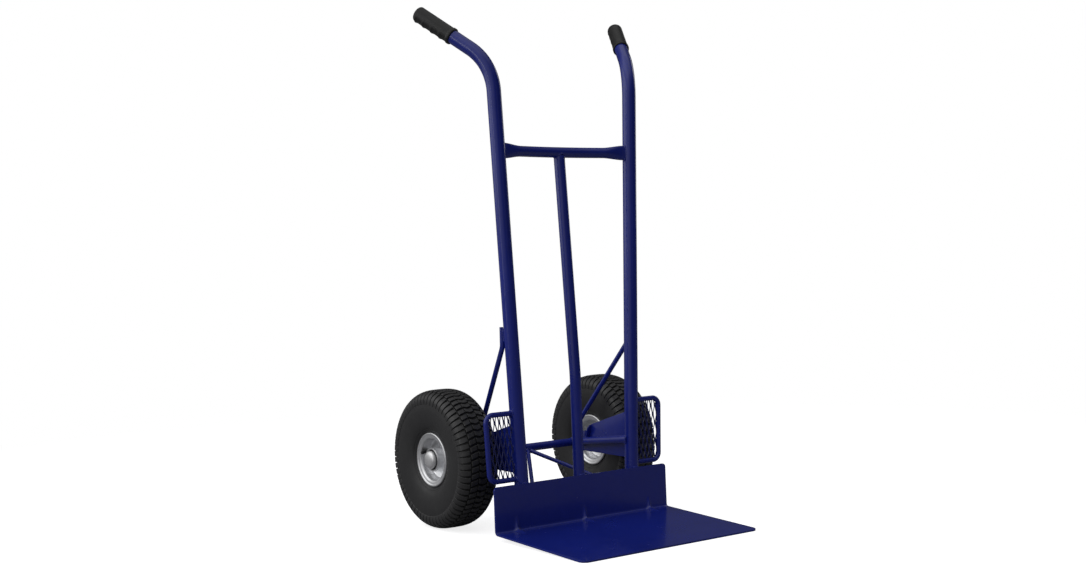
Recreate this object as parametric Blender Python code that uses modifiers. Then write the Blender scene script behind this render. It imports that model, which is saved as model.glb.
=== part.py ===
"""Two-wheeled hand truck: a welded tube frame with a folded toe plate, bent-back
handles, wheel guards of expanded metal and two pneumatic wheels on one axle.

Metres, +Z up. X runs across the truck, the toe plate points to -Y and the wheels
are at +Y. The origin is on the floor, under the middle of the truck.
"""
import math

import bmesh
import bpy
from mathutils import Matrix, Vector

# ----------------------------------------------------------------- dimensions
GAP = 0.0003                      # clearance kept between neighbouring pieces
Y_ORIGIN = -0.0390                # moves the truck so that the floor centre is 0, 0

# frame tubes
UP_R, UP_WALL = 0.01685, 0.0026   # 33.7 mm uprights
UP_HALF = 0.1625                  # half distance between the uprights at the floor
UP_TAPER = 0.03955                # the uprights spread apart by this per metre, each
LEAN = 0.021                      # the uprights lean back by this per metre
UP_BOTTOM = 0.024
CORNER_Z = 1.0957                 # where the upright line meets the handle line
HANDLE_TIP = (0.3009, 0.2099, 1.2262)
HANDLE_BEND_R = 0.130

CROSS_Z, CROSS_R, CROSS_WALL = 0.8945, 0.0127, 0.002
CROSS_BOW = 0.0275                # the middle of the cross tube sits this far back
CENTRE_R, CENTRE_WALL = 0.01345, 0.0023
CENTRE_KNEE_Z = 0.362

# grips
GRIP_LENGTH, GRIP_R, GRIP_END = 0.114, 0.0192, 0.0042

# toe plate
PLATE_T = 0.004
PLATE_HALF = 0.2593
PLATE_DEPTH = 0.3194
PLATE_REAR_Z, PLATE_FRONT_Z = 0.0171, 0.0041   # top face at the fold and at the front edge
FLANGE_TOP = 0.1229
FOLD_R = 0.006
PLATE_CORNER, FLANGE_CORNER = 0.018, 0.009

# axle and what holds it
AXLE_R, AXLE_HALF = 0.010, 0.2856
AXLE_Y = 0.2310
ARM_X, ARM_R, ARM_WALL = 0.160, 0.010, 0.002
ARM_FRONT_Z = 0.1900
BRACKET_X, BRACKET_T = 0.1722, 0.003
BRACE_R = 0.006
STRUT_R = 0.005

# wheel guards
GUARD_R = 0.006
GUARD_TOP, GUARD_BOTTOM = 0.2855, 0.1315
GUARD_OUT = 0.268                 # outer face of the guard loop at its top
GUARD_CORNER = 0.017
MESH_T = 0.002
DIAMOND_W, DIAMOND_H, STRAND = 0.0130, 0.0430, 0.0026

# wheels
WHEEL_X = 0.2436                  # middle of each wheel
TYRE_R = 0.1672
TYRE_SEGMENTS = 32
AXLE_Z = TYRE_R * math.cos(math.pi / TYRE_SEGMENTS)
VALVE_ANGLE = math.radians(18)    # above the rearward horizontal
VALVE_X, VALVE_R = 0.0172, 0.0430


def up_x(z):
    return UP_HALF + UP_TAPER * z


def up_y(z):
    return PLATE_T + GAP + UP_R + LEAN * z


# ------------------------------------------------------------------- helpers
for old in list(bpy.data.objects):
    bpy.data.objects.remove(old, do_unlink=True)

truck = bpy.data.collections.new("hand_truck")
tools = bpy.data.collections.new("cutters")
bpy.context.scene.collection.children.link(truck)
bpy.context.scene.collection.children.link(tools)


def empty(name, location, parent=None):
    e = bpy.data.objects.new(name, None)
    e.empty_display_size = 0.05
    e.location = location
    e.parent = parent
    truck.objects.link(e)
    return e


def material(name, colour, roughness, metallic):
    m = bpy.data.materials.new(name)
    m.use_nodes = True
    b = m.node_tree.nodes["Principled BSDF"]
    b.inputs["Base Color"].default_value = (*colour, 1)
    b.inputs["Roughness"].default_value = roughness
    b.inputs["Metallic"].default_value = metallic
    return m


BLUE = material("blue_paint", (0.020, 0.022, 0.130), 0.25, 0.0)
TYRE = material("tyre_rubber", (0.022, 0.022, 0.023), 0.75, 0.0)
ZINC = material("zinc_plate", (0.62, 0.63, 0.65), 0.35, 1.0)
STEEL = material("bright_steel", (0.55, 0.55, 0.56), 0.30, 1.0)
BLACK = material("black_plastic", (0.012, 0.012, 0.013), 0.50, 0.0)
RUBBER = material("soft_rubber", (0.018, 0.018, 0.018), 0.65, 0.0)
CAP = material("cap_metal", (0.78, 0.78, 0.78), 0.22, 1.0)

ROOT = empty("truck_origin", (0, Y_ORIGIN, 0))


def place(obj, mat, parent=ROOT, smooth=35):
    """Puts an object in the truck's collection with its material."""
    if obj.name not in truck.objects:
        truck.objects.link(obj)
    obj.parent = parent
    obj.data.materials.clear()
    obj.data.materials.append(mat)
    if obj.type == "MESH":
        obj.data.shade_smooth()
        obj.data.set_sharp_from_angle(angle=math.radians(smooth))
    return obj


def cutter(obj, parent=ROOT):
    """Makes an object a hidden tool for a Boolean."""
    if obj.name not in tools.objects:
        tools.objects.link(obj)
    obj.hide_render = True
    obj.display_type = "WIRE"
    obj.parent = parent
    return obj


def boolean(obj, tool, operation="DIFFERENCE"):
    m = obj.modifiers.new(tool.name, "BOOLEAN")
    m.operation = operation
    m.object = tool
    m.solver = "EXACT"


def rounded_path(points, radii, steps):
    """The polyline with each inner corner replaced by an arc of its own radius."""
    points = [Vector(p) for p in points]
    out = [points[0]]
    for i in range(1, len(points) - 1):
        a, b, c = points[i - 1], points[i], points[i + 1]
        u, v = (a - b).normalized(), (c - b).normalized()
        turn = math.pi - u.angle(v)
        r = radii[i - 1]
        if r <= 0 or turn < 1e-4:
            out.append(b)
            continue
        t = r * math.tan(turn / 2)
        centre = b + (u + v).normalized() * (r / math.cos(turn / 2))
        start = b + u * t - centre
        axis = start.cross(b + v * t - centre).normalized()
        n = steps[i - 1]
        for k in range(n + 1):
            out.append(centre + Matrix.Rotation(turn * k / n, 3, axis) @ start)
    out.append(points[-1])
    return out


def curve_of(name, points, radius, resolution, caps=True, cyclic=False):
    """A round bar or an open tube skin along a polyline."""
    data = bpy.data.curves.new(name, "CURVE")
    data.dimensions = "3D"
    data.bevel_depth = radius
    data.bevel_resolution = resolution
    data.use_fill_caps = caps
    s = data.splines.new("POLY")
    s.points.add(len(points) - 1)
    for p, q in zip(s.points, points):
        p.co = (*q, 1)
    s.use_cyclic_u = cyclic
    return bpy.data.objects.new(name, data)


def to_mesh(obj):
    """The evaluated mesh of a curve, as a new mesh object with its caps welded on."""
    if not obj.users_collection:
        tools.objects.link(obj)
    bpy.context.view_layer.update()
    graph = bpy.context.evaluated_depsgraph_get()
    data = bpy.data.meshes.new_from_object(obj.evaluated_get(graph))
    name, matrix = obj.name, obj.matrix_world.copy()
    bpy.data.objects.remove(obj, do_unlink=True)
    bm = bmesh.new()
    bm.from_mesh(data)
    bmesh.ops.remove_doubles(bm, verts=bm.verts, dist=1e-6)
    bm.to_mesh(data)
    bm.free()
    made = bpy.data.objects.new(name, data)
    made.matrix_world = matrix
    return made


def tidy(data):
    """Welds a closed mesh and turns its faces outward."""
    bm = bmesh.new()
    bm.from_mesh(data)
    bmesh.ops.remove_doubles(bm, verts=bm.verts, dist=1e-6)
    bmesh.ops.recalc_face_normals(bm, faces=bm.faces)
    if bm.calc_volume(signed=True) < 0:
        bmesh.ops.reverse_faces(bm, faces=bm.faces)
    bm.to_mesh(data)
    bm.free()


def outward(obj, path):
    """Turns the faces of an open tube skin away from its centre line."""
    bm = bmesh.new()
    bm.from_mesh(obj.data)
    bmesh.ops.recalc_face_normals(bm, faces=bm.faces)
    bm.normal_update()
    score = 0.0
    for f in bm.faces:
        c = f.calc_center_median()
        near = min(((c - (a + b) / 2).length, i) for i, (a, b) in enumerate(zip(path, path[1:])))[1]
        a, b = path[near], path[near + 1]
        d = (b - a).normalized()
        score += f.normal.dot((c - a) - d * (c - a).dot(d))
    if score < 0:
        bmesh.ops.reverse_faces(bm, faces=bm.faces)
    bm.to_mesh(obj.data)
    bm.free()


def hollow_tube(name, path, radius, wall, resolution):
    obj = to_mesh(curve_of(name, path, radius, resolution, caps=False))
    outward(obj, [Vector(p) for p in path])
    s = obj.modifiers.new("wall", "SOLIDIFY")
    s.thickness = wall
    s.offset = -1
    s.use_even_offset = True
    return obj


def turned(name, profile, segments, cyclic=True):
    """A turned shape about its own Z. The profile is (z, radius) pairs, and it
    runs so that the outer side goes from the top to the bottom."""
    data = bpy.data.meshes.new(name)
    bm = bmesh.new()
    vs = [bm.verts.new((r, 0, z)) for z, r in profile]
    for a, b in zip(vs, vs[1:]):
        bm.edges.new((a, b))
    if cyclic:
        bm.edges.new((vs[-1], vs[0]))
    bm.to_mesh(data)
    bm.free()
    obj = bpy.data.objects.new(name, data)
    m = obj.modifiers.new("turn", "SCREW")
    m.axis = "Z"
    m.angle = 2 * math.pi
    m.steps = m.render_steps = segments
    m.use_merge_vertices = True
    m.merge_threshold = 0.00005
    m.use_smooth_shade = True
    m.use_normal_calculate = False
    return obj


def flat_outline(name, loops, thickness):
    """A flat plate in its own XY plane: the first loop is its edge, the others are holes."""
    data = bpy.data.curves.new(name, "CURVE")
    data.dimensions = "2D"
    data.fill_mode = "BOTH"
    data.extrude = thickness / 2
    for loop in loops:
        s = data.splines.new("POLY")
        s.points.add(len(loop) - 1)
        for p, (x, y) in zip(s.points, loop):
            p.co = (x, y, 0, 1)
        s.use_cyclic_u = True
    return bpy.data.objects.new(name, data)


def cylinder_between(name, a, b, radius, segments=32):
    """A capped cylinder from a to b, used as a coping tool."""
    a, b = Vector(a), Vector(b)
    data = bpy.data.meshes.new(name)
    bm = bmesh.new()
    bmesh.ops.create_cone(bm, cap_ends=True, segments=segments, radius1=radius,
                          radius2=radius, depth=(b - a).length)
    bm.to_mesh(data)
    bm.free()
    obj = bpy.data.objects.new(name, data)
    obj.matrix_world = Matrix.Translation((a + b) / 2) @ (b - a).to_track_quat("Z", "Y").to_matrix().to_4x4()
    return obj


def round_corners(corners, radii, n=5):
    """A closed 2D polygon with rounded corners."""
    out = []
    count = len(corners)
    for i, (p, r) in enumerate(zip(corners, radii)):
        b = Vector(p)
        a, c = Vector(corners[i - 1]), Vector(corners[(i + 1) % count])
        if r <= 0:
            out.append(tuple(b))
            continue
        u, v = (a - b).normalized(), (c - b).normalized()
        turn = math.pi - u.angle(v)
        t = r * math.tan(turn / 2)
        centre = b + (u + v).normalized() * (r / math.cos(turn / 2))
        s, e = b + u * t - centre, b + v * t - centre
        a0, a1 = math.atan2(s.y, s.x), math.atan2(e.y, e.x)
        d = (a1 - a0 + math.pi) % (2 * math.pi) - math.pi
        for k in range(n + 1):
            w = a0 + d * k / n
            out.append((centre.x + r * math.cos(w), centre.y + r * math.sin(w)))
    return out


def clip(polygon, convex):
    """The part of a polygon inside a convex one that runs anticlockwise."""
    out = list(polygon)
    for (x0, y0), (x1, y1) in zip(convex, convex[1:] + convex[:1]):
        side = lambda p: (x1 - x0) * (p[1] - y0) - (y1 - y0) * (p[0] - x0)
        kept = []
        for p, q in zip(out, out[1:] + out[:1]):
            sp, sq = side(p), side(q)
            if sp >= 0:
                kept.append(p)
            if (sp >= 0) != (sq >= 0):
                t = sp / (sp - sq)
                kept.append((p[0] + t * (q[0] - p[0]), p[1] + t * (q[1] - p[1])))
        out = kept
        if not out:
            break
    return out


def area(polygon):
    return 0.5 * sum(a[0] * b[1] - b[0] * a[1] for a, b in zip(polygon, polygon[1:] + polygon[:1]))


# ------------------------------------------------------ uprights and handles
corner = Vector((up_x(CORNER_Z), up_y(CORNER_Z), CORNER_Z))
tip = Vector(HANDLE_TIP)
grip_dir = (tip - corner).normalized()
tube_end = tip - grip_dir * (GRIP_END + GAP)
for side, s in (("left", -1), ("right", 1)):
    flip = lambda p: Vector((s * p[0], p[1], p[2]))
    path = rounded_path([(up_x(UP_BOTTOM), up_y(UP_BOTTOM), UP_BOTTOM), corner, tube_end],
                        [HANDLE_BEND_R], [6])
    path = [flip(p) for p in path]
    place(hollow_tube(side + "_upright", path, UP_R, UP_WALL, 5), BLUE)

    # a moulded grip: a sleeve closed at its far end, with a collar at its mouth
    r0 = UP_R + GAP
    L = GRIP_LENGTH
    profile = [(0, 0), (0, GRIP_R - 0.006), (-0.0018, GRIP_R - 0.0022), (-0.006, GRIP_R),
               (-(L - 0.008), GRIP_R), (-(L - 0.0065), GRIP_R + 0.0012), (-L, GRIP_R + 0.0012),
               (-L, r0), (-GRIP_END, r0), (-GRIP_END, 0)]
    grip = turned(side + "_grip", profile, 18, cyclic=False)
    grip.matrix_world = Matrix.Translation(flip(tip)) @ flip(grip_dir).to_track_quat("Z", "Y").to_matrix().to_4x4()
    place(grip, BLACK)

# -------------------------------------------------------------- top cross tube
# A round tube bowed towards the back, with its ends pressed flat and upright.
half = up_x(CROSS_Z) - UP_R - GAP
stations = [half * t for t in (-1, -0.92, -0.82, -0.70, -0.40, 0, 0.40, 0.70, 0.82, 0.92, 1)]
data = bpy.data.meshes.new("top_cross_tube")
bm = bmesh.new()
rings = []
SIDES = 14
for x in stations:
    e = max(0.0, (abs(x) / half - 0.70) / 0.30)
    e = e * e * (3 - 2 * e)
    tall = CROSS_R + (0.0178 - CROSS_R) * e
    thin = CROSS_R + (0.0048 - CROSS_R) * e
    y = up_y(CROSS_Z) + CROSS_BOW * (1 - (x / half) ** 2)
    slope = -2 * CROSS_BOW * x / half ** 2
    n = Vector((-slope, 1, 0)).normalized()
    if abs(x) == half:
        n = Vector((0, 1, 0))
    ring = []
    for k in range(SIDES):
        w = 2 * math.pi * k / SIDES
        p = Vector((x, y, CROSS_Z)) + n * (thin * math.cos(w)) + Vector((0, 0, tall * math.sin(w)))
        p.x += (x / half) * e * UP_TAPER * tall * math.sin(w)    # the ends follow the splay of the uprights
        ring.append(bm.verts.new(p))
    rings.append(ring)
for a, b in zip(rings, rings[1:]):
    for k in range(SIDES):
        j = (k + 1) % SIDES
        bm.faces.new((a[k], a[j], b[j], b[k]))
bm.to_mesh(data)
bm.free()
cross = bpy.data.objects.new("top_cross_tube", data)
outward(cross, [Vector((x, up_y(CROSS_Z) + CROSS_BOW * (1 - (x / half) ** 2), CROSS_Z)) for x in stations])
m = cross.modifiers.new("wall", "SOLIDIFY")
m.thickness = CROSS_WALL
m.offset = -1
place(cross, BLUE)

# ---------------------------------------------------------------- centre tube
knee_y = PLATE_T + GAP + CENTRE_R + LEAN * CENTRE_KNEE_Z
cross_y = up_y(CROSS_Z) + CROSS_BOW
top_z = CROSS_Z - 0.006
path = rounded_path([(0, PLATE_T + GAP + CENTRE_R + LEAN * UP_BOTTOM, UP_BOTTOM), (0, knee_y, CENTRE_KNEE_Z), (0, cross_y - 0.0005, top_z)],
                    [0.6], [3])
centre = place(hollow_tube("centre_tube", path, CENTRE_R, CENTRE_WALL, 5), BLUE)
boolean(centre, cutter(cylinder_between("cope_cross", (-0.03, cross_y, CROSS_Z), (0.03, cross_y, CROSS_Z), CROSS_R + 0.0006)))

# ------------------------------------------------------------------ toe plate
# One folded sheet: the top face of the plate and the front face of the flange
# meet at the fold, and the sheet lies below and behind them.
slope = (PLATE_REAR_Z - PLATE_FRONT_Z) / PLATE_DEPTH
fold = Vector((0, LEAN * PLATE_REAR_Z, PLATE_REAR_Z))
strip = rounded_path([(0, -PLATE_DEPTH, PLATE_FRONT_Z), fold, (0, LEAN * FLANGE_TOP, FLANGE_TOP)], [FOLD_R], [5])
data = bpy.data.meshes.new("toe_plate")
bm = bmesh.new()
line = [bm.verts.new((-PLATE_HALF, p.y, p.z)) for p in strip]
edges = [bm.edges.new(pair) for pair in zip(line, line[1:])]
made = bmesh.ops.extrude_edge_only(bm, edges=edges)
bmesh.ops.translate(bm, vec=(2 * PLATE_HALF, 0, 0), verts=[v for v in made["geom"] if isinstance(v, bmesh.types.BMVert)])
bm.normal_update()
if sum(f.normal.z for f in bm.faces) < 0:
    bmesh.ops.reverse_faces(bm, faces=bm.faces)
bm.to_mesh(data)
bm.free()
plate = bpy.data.objects.new("toe_plate", data)
m = plate.modifiers.new("sheet", "SOLIDIFY")
m.thickness = PLATE_T
m.offset = -1
m.use_even_offset = True
place(plate, BLUE, smooth=30)


def corner_tool(name, x, sx, radius, front):
    """A block with one concave rounded corner, for the plate's and the flange's corners."""
    n = 6
    arc = [(x - sx * radius + sx * radius * math.cos(w), -radius + radius * math.sin(w))
           for w in [math.pi / 2 * k / n for k in range(n + 1)]]
    out = 0.004
    loop = arc + [(x - sx * radius, out), (x + sx * out, out), (x + sx * out, -radius)]
    obj = to_mesh(flat_outline(name, [loop], 0.05))
    if front:
        # the tool's +Y points out of the front edge
        obj.data.transform(Matrix.Translation((0, -PLATE_DEPTH, 0)) @ Matrix.Diagonal((1, -1, 1, 1)))
    else:
        obj.data.transform(Matrix.Translation((0, 0, FLANGE_TOP)) @ Matrix.Rotation(math.pi / 2, 4, "X"))
    tidy(obj.data)
    return cutter(obj)


for side, s in (("left", -1), ("right", 1)):
    boolean(plate, corner_tool(side + "_front_corner", s * PLATE_HALF, s, PLATE_CORNER, True))
    boolean(plate, corner_tool(side + "_flange_corner", s * PLATE_HALF, s, FLANGE_CORNER, False))

# --------------------------------------------------------------- wheel guards
for side, s in (("left", -1), ("right", 1)):
    flip = lambda p: Vector((s * p[0], p[1], p[2]))
    out_top = GUARD_OUT - GUARD_R
    drop = GUARD_TOP - GUARD_BOTTOM
    out_bottom = out_top - UP_TAPER * drop
    in_top = up_x(GUARD_TOP) + UP_R + GAP
    in_bottom = up_x(GUARD_BOTTOM) + UP_R + GAP
    pts = [(in_top, up_y(GUARD_TOP), GUARD_TOP), (out_top, up_y(GUARD_TOP), GUARD_TOP),
           (out_bottom, up_y(GUARD_BOTTOM), GUARD_BOTTOM), (in_bottom, up_y(GUARD_BOTTOM), GUARD_BOTTOM)]
    path = [flip(p) for p in rounded_path(pts, [GUARD_CORNER, GUARD_CORNER], [4, 4])]
    place(curve_of(side + "_guard_loop", path, GUARD_R, 2), BLUE)

    # expanded metal: a thin sheet with staggered upright diamonds
    inset = GUARD_R + GAP
    t, b = GUARD_TOP - inset, GUARD_BOTTOM + inset
    left = lambda z: up_x(z) + UP_R + 0.0006
    right = lambda z: out_top - UP_TAPER * (GUARD_TOP - z) - inset
    rr = GUARD_CORNER - GUARD_R - GAP
    edge = round_corners([(left(b), b), (right(b), b), (right(t), t), (left(t), t)], [0, rr, rr, 0], 4)
    border = 0.0020
    hole_area = round_corners([(left(b) + border, b + border), (right(b) - border, b + border),
                               (right(t) - border, t - border), (left(t) + border, t - border)],
                              [0, rr - border, rr - border, 0], 3)
    loops = [edge]
    cx0, cz0 = left(b) + 0.010, (t + b) / 2
    w, h = DIAMOND_W / 2 - STRAND / 2, DIAMOND_H / 2 - STRAND * 1.35
    for i in range(-2, 14):
        for j in range(-6, 7):
            cx = cx0 + i * DIAMOND_W / 2
            cz = cz0 + j * DIAMOND_H + (DIAMOND_H / 2 if i % 2 else 0)
            d = clip([(cx - w, cz), (cx, cz - h), (cx + w, cz), (cx, cz + h)], hole_area)
            if len(d) >= 3 and area(d) > 2.2e-5:
                loops.append(d)
    sheet = to_mesh(flat_outline(side + "_guard_mesh", loops, MESH_T))
    # the outline's plane becomes the leaning plane of the uprights
    for v in sheet.data.vertices:
        x, z, depth = v.co
        v.co = (s * x, up_y(z) + depth, z)
    tidy(sheet.data)
    place(sheet, BLUE, smooth=20)

# ------------------------------------------------- brackets, arms and braces
axle_line = ((-0.3, AXLE_Y, AXLE_Z), (0.3, AXLE_Y, AXLE_Z))
for side, s in (("left", -1), ("right", 1)):
    flip = lambda p: Vector((s * p[0], p[1], p[2]))

    # the side plate that carries the axle
    front = lambda z: up_y(z) + UP_R + 0.0006
    shape = round_corners([(front(0.143), 0.143), (0.258, 0.143), (0.258, 0.189), (0.196, 0.197),
                           (0.184, 0.2135), (front(0.257), 0.257)], [0, 0.010, 0.010, 0.006, 0.008, 0], 4)
    hole = [(AXLE_Y + (AXLE_R + GAP) * math.cos(2 * math.pi * k / 24), AXLE_Z + (AXLE_R + GAP) * math.sin(2 * math.pi * k / 24))
            for k in range(24)]
    bracket = to_mesh(flat_outline(side + "_axle_bracket", [shape, hole], BRACKET_T))
    for v in bracket.data.vertices:
        v.co = (s * (BRACKET_X + v.co.z), v.co.x, v.co.y)
    tidy(bracket.data)
    place(bracket, BLUE, smooth=20)

    # the short tube from the upright back to the axle, coped at both ends
    path = [flip((ARM_X, 0.020, ARM_FRONT_Z + 0.002)), flip((ARM_X, AXLE_Y - 0.0085, AXLE_Z + 0.0005))]
    arm = place(hollow_tube(side + "_axle_arm", path, ARM_R, ARM_WALL, 4), BLUE)
    lo, hi = 0.10, 0.30
    boolean(arm, cutter(cylinder_between(side + "_cope_upright", flip((up_x(lo), up_y(lo), lo)), flip((up_x(hi), up_y(hi), hi)), UP_R + GAP)))
    boolean(arm, cutter(cylinder_between(side + "_cope_axle", *axle_line, AXLE_R + GAP)))

    # the bent round brace from the back of the upright down to the axle
    off = Vector((0.0144, 0.0182, 0)) * ((UP_R + BRACE_R + GAP) / 0.02321)
    on_up = lambda z: Vector((up_x(z), up_y(z), z)) + off
    pts = [on_up(0.485), on_up(0.440), (0.1505, 0.2228, 0.2052), (0.1500, AXLE_Y, AXLE_Z)]
    path = [flip(p) for p in rounded_path(pts, [0.030, 0.025], [3, 3])]
    brace = place(to_mesh(curve_of(side + "_brace", path, BRACE_R, 2)), BLUE)
    boolean(brace, cutter(cylinder_between(side + "_cope_brace", *axle_line, AXLE_R + GAP)))

    # the thin strut from the middle of the axle to the back of the flange
    a = Vector((0.0062, AXLE_Y - 0.0134, AXLE_Z - 0.0079))
    b = Vector((0.1420, 0.0120, 0.0718))
    path = [flip(a), flip(b + (b - a).normalized() * 0.010)]
    strut = place(to_mesh(curve_of(side + "_axle_strut", path, STRUT_R, 3)), BLUE)
    slab = bpy.data.meshes.new(side + "_flange_plane")
    bm = bmesh.new()
    bmesh.ops.create_cube(bm, size=1, matrix=Matrix.Diagonal((0.10, 0.05, 0.12, 1)))
    bm.to_mesh(slab)
    bm.free()
    slab = bpy.data.objects.new(side + "_flange_plane", slab)
    tilt = math.atan(LEAN)
    slab.matrix_world = Matrix.Translation(flip((0.145, PLATE_T + GAP + LEAN * 0.07, 0.07))) @ Matrix.Rotation(-tilt, 4, "X") @ Matrix.Translation((0, -0.025, 0))
    boolean(strut, cutter(slab))

# ----------------------------------------------------------------------- axle
axle = to_mesh(curve_of("axle", [Vector((-AXLE_HALF, AXLE_Y, AXLE_Z)), Vector((AXLE_HALF, AXLE_Y, AXLE_Z))], AXLE_R, 10))
m = axle.modifiers.new("chamfer", "BEVEL")
m.width = 0.001
m.segments = 1
m.limit_method = "ANGLE"
m.angle_limit = math.radians(60)
place(axle, STEEL)

# --------------------------------------------------------------------- wheels
mirrored = lambda half_profile: half_profile + [(-z, r) for z, r in reversed(half_profile)]
# casing section, in (distance from the wheel's middle, radius)
tyre_out = [(0.0300, 0.0518), (0.0327, 0.0530), (0.0350, 0.0640), (0.0472, 0.0860), (0.0516, 0.1110),
            (0.0513, 0.1345), (0.0474, 0.1510), (0.0368, 0.1618), (0.0190, TYRE_R)]
tyre_in = [(0.0275, 0.0570), (0.0458, 0.1050), (0.0442, 0.1375), (0.0315, 0.1552)]
tyre_loop = mirrored(tyre_out) + mirrored([(-z, r) for z, r in tyre_in])
tube_out = [(0.0235, 0.0535), (0.0400, 0.1055), (0.0385, 0.1330), (0.0265, 0.1490)]
tube_in = [(0.0215, 0.0560), (0.0376, 0.1060), (0.0364, 0.1320), (0.0252, 0.1465)]
tube_loop = mirrored(tube_out) + mirrored([(-z, r) for z, r in tube_in])
# pressed rim half: lip, bead seat and barrel outside, with a dished disc inside it
rim_loop = [(0.0372, 0.0618), (0.0378, 0.0628), (0.0362, 0.0634), (0.0352, 0.0545), (0.0328, 0.0512), (0.0003, 0.0496), (0.0003, 0.0478),
            (0.0070, 0.0476), (0.0070, 0.0330), (0.0150, 0.0264), (0.0330, 0.0264), (0.0330, 0.0282), (0.0165, 0.0284), (0.0090, 0.0345),
            (0.0090, 0.0440), (0.0120, 0.0476), (0.0335, 0.0492), (0.0368, 0.0540)]
HUB_R, HUB_HALF, BEARING_R, BEARING_W = 0.0250, 0.0380, 0.0210, 0.012

for side, s in (("left", -1), ("right", 1)):
    spin = empty(side + "_wheel_axis", (s * WHEEL_X, AXLE_Y, AXLE_Z), ROOT)
    turn = Matrix.Rotation(s * math.pi / 2, 4, "Y")
    half_step = lambda n: Matrix.Rotation(math.pi / n, 4, "Z")

    tyre = turned(side + "_tyre", tyre_loop, TYRE_SEGMENTS)
    tyre.matrix_world = turn @ half_step(TYRE_SEGMENTS)
    place(tyre, TYRE, spin)

    tube = turned(side + "_inner_tube", tube_loop, 18)
    tube.matrix_world = turn
    place(tube, RUBBER, spin)

    for which, k in (("outer", 1), ("inner", -1)):
        loop = [(k * z, r) for z, r in rim_loop]
        rim = turned("%s_rim_%s" % (side, which), loop if k > 0 else loop[::-1], 24)
        rim.matrix_world = turn
        place(rim, ZINC, spin)
        bearing = turned("%s_%s_bearing" % (side, which),
                         [(BEARING_W / 2, BEARING_R - GAP), (-BEARING_W / 2, BEARING_R - GAP),
                          (-BEARING_W / 2, AXLE_R + GAP), (BEARING_W / 2, AXLE_R + GAP)], 18)
        bearing.matrix_world = turn @ Matrix.Translation((0, 0, k * (0.0360 - BEARING_W / 2 - GAP)))
        place(bearing, STEEL, spin)

    # hub: a sleeve with a bearing seat and a shoulder at each end
    hub_half = [(HUB_HALF, 0.0240), (HUB_HALF, 0.0264), (0.0310, HUB_R)]
    hub_bore = [(-0.0360, 0.0240), (-0.0360, BEARING_R), (-0.0236, BEARING_R), (-0.0236, 0.0190)]
    hub = turned(side + "_hub", hub_half + [(-z, r) for z, r in reversed(hub_half)] + hub_bore
                 + [(-z, r) for z, r in reversed(hub_bore)], 20)
    hub.matrix_world = turn
    place(hub, ZINC, spin)

    # domed cap pushed into the outer end of the hub
    cap = turned(side + "_hub_cap",
                 [(0.0500, 0), (0.0490, 0.0120), (0.0460, 0.0196), (0.0420, 0.0221), (0.0363, 0.0221), (0.0363, 0.0196),
                  (0.0425, 0.0188), (0.0465, 0.0120), (0.0470, 0)], 20, cyclic=False)
    cap.matrix_world = turn
    place(cap, CAP, spin)

    # bent valve stem: out of the tube through the rim's barrel, then along the barrel to its cap
    spoke = Vector((0, math.cos(VALVE_ANGLE), math.sin(VALVE_ANGLE)))
    at = lambda x, r: Vector((s * x, 0, 0)) + spoke * r
    path = rounded_path([at(VALVE_X, 0.0562), at(VALVE_X, VALVE_R), at(0.0340, VALVE_R)], [0.0055], [4])
    stem = hollow_tube(side + "_valve_stem", path, 0.0037, 0.0025, 3)
    place(stem, RUBBER, spin)
    vcap = to_mesh(curve_of(side + "_valve_cap", [at(0.0343, VALVE_R), at(0.0405, VALVE_R)], 0.0038, 3))
    place(vcap, BLACK, spin)
    out = Matrix.Rotation(VALVE_ANGLE, 4, "X") @ Matrix.Rotation(-math.pi / 2, 4, "X")   # its Z points out along the spoke
    hole = turned(side + "_valve_hole", [(0.0600, 0.0), (0.0600, 0.0037 + GAP), (0.0400, 0.0037 + GAP), (0.0400, 0.0)], 16, cyclic=False)
    hole.matrix_world = Matrix.Translation((s * VALVE_X, 0, 0)) @ out
    cutter(hole, spin)
    boolean(tube, hole)
    boolean(bpy.data.objects[side + "_rim_outer"], hole)

    # on the axle: a spacer inside the wheel, a washer and a clip outside it
    def place_ring(name, x0, x1, r):
        w = (x1 - x0) / 2
        ring = turned(name, [(w, r), (-w, r), (-w, AXLE_R + GAP), (w, AXLE_R + GAP)], 16)
        ring.matrix_world = Matrix.Translation((s * (x0 + x1) / 2, AXLE_Y, AXLE_Z)) @ turn
        return place(ring, STEEL)

    place_ring(side + "_inner_spacer", BRACKET_X + BRACKET_T / 2 + GAP, WHEEL_X - 0.0360, 0.0135)
    place_ring(side + "_axle_washer", WHEEL_X + 0.0360, WHEEL_X + 0.0378, 0.0160)
    place_ring(side + "_axle_clip", WHEEL_X + 0.0381, WHEEL_X + 0.0396, 0.0130)

bpy.context.view_layer.update()
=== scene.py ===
import math

import bmesh
import bpy
import numpy as np
from mathutils import Matrix, Vector


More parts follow.
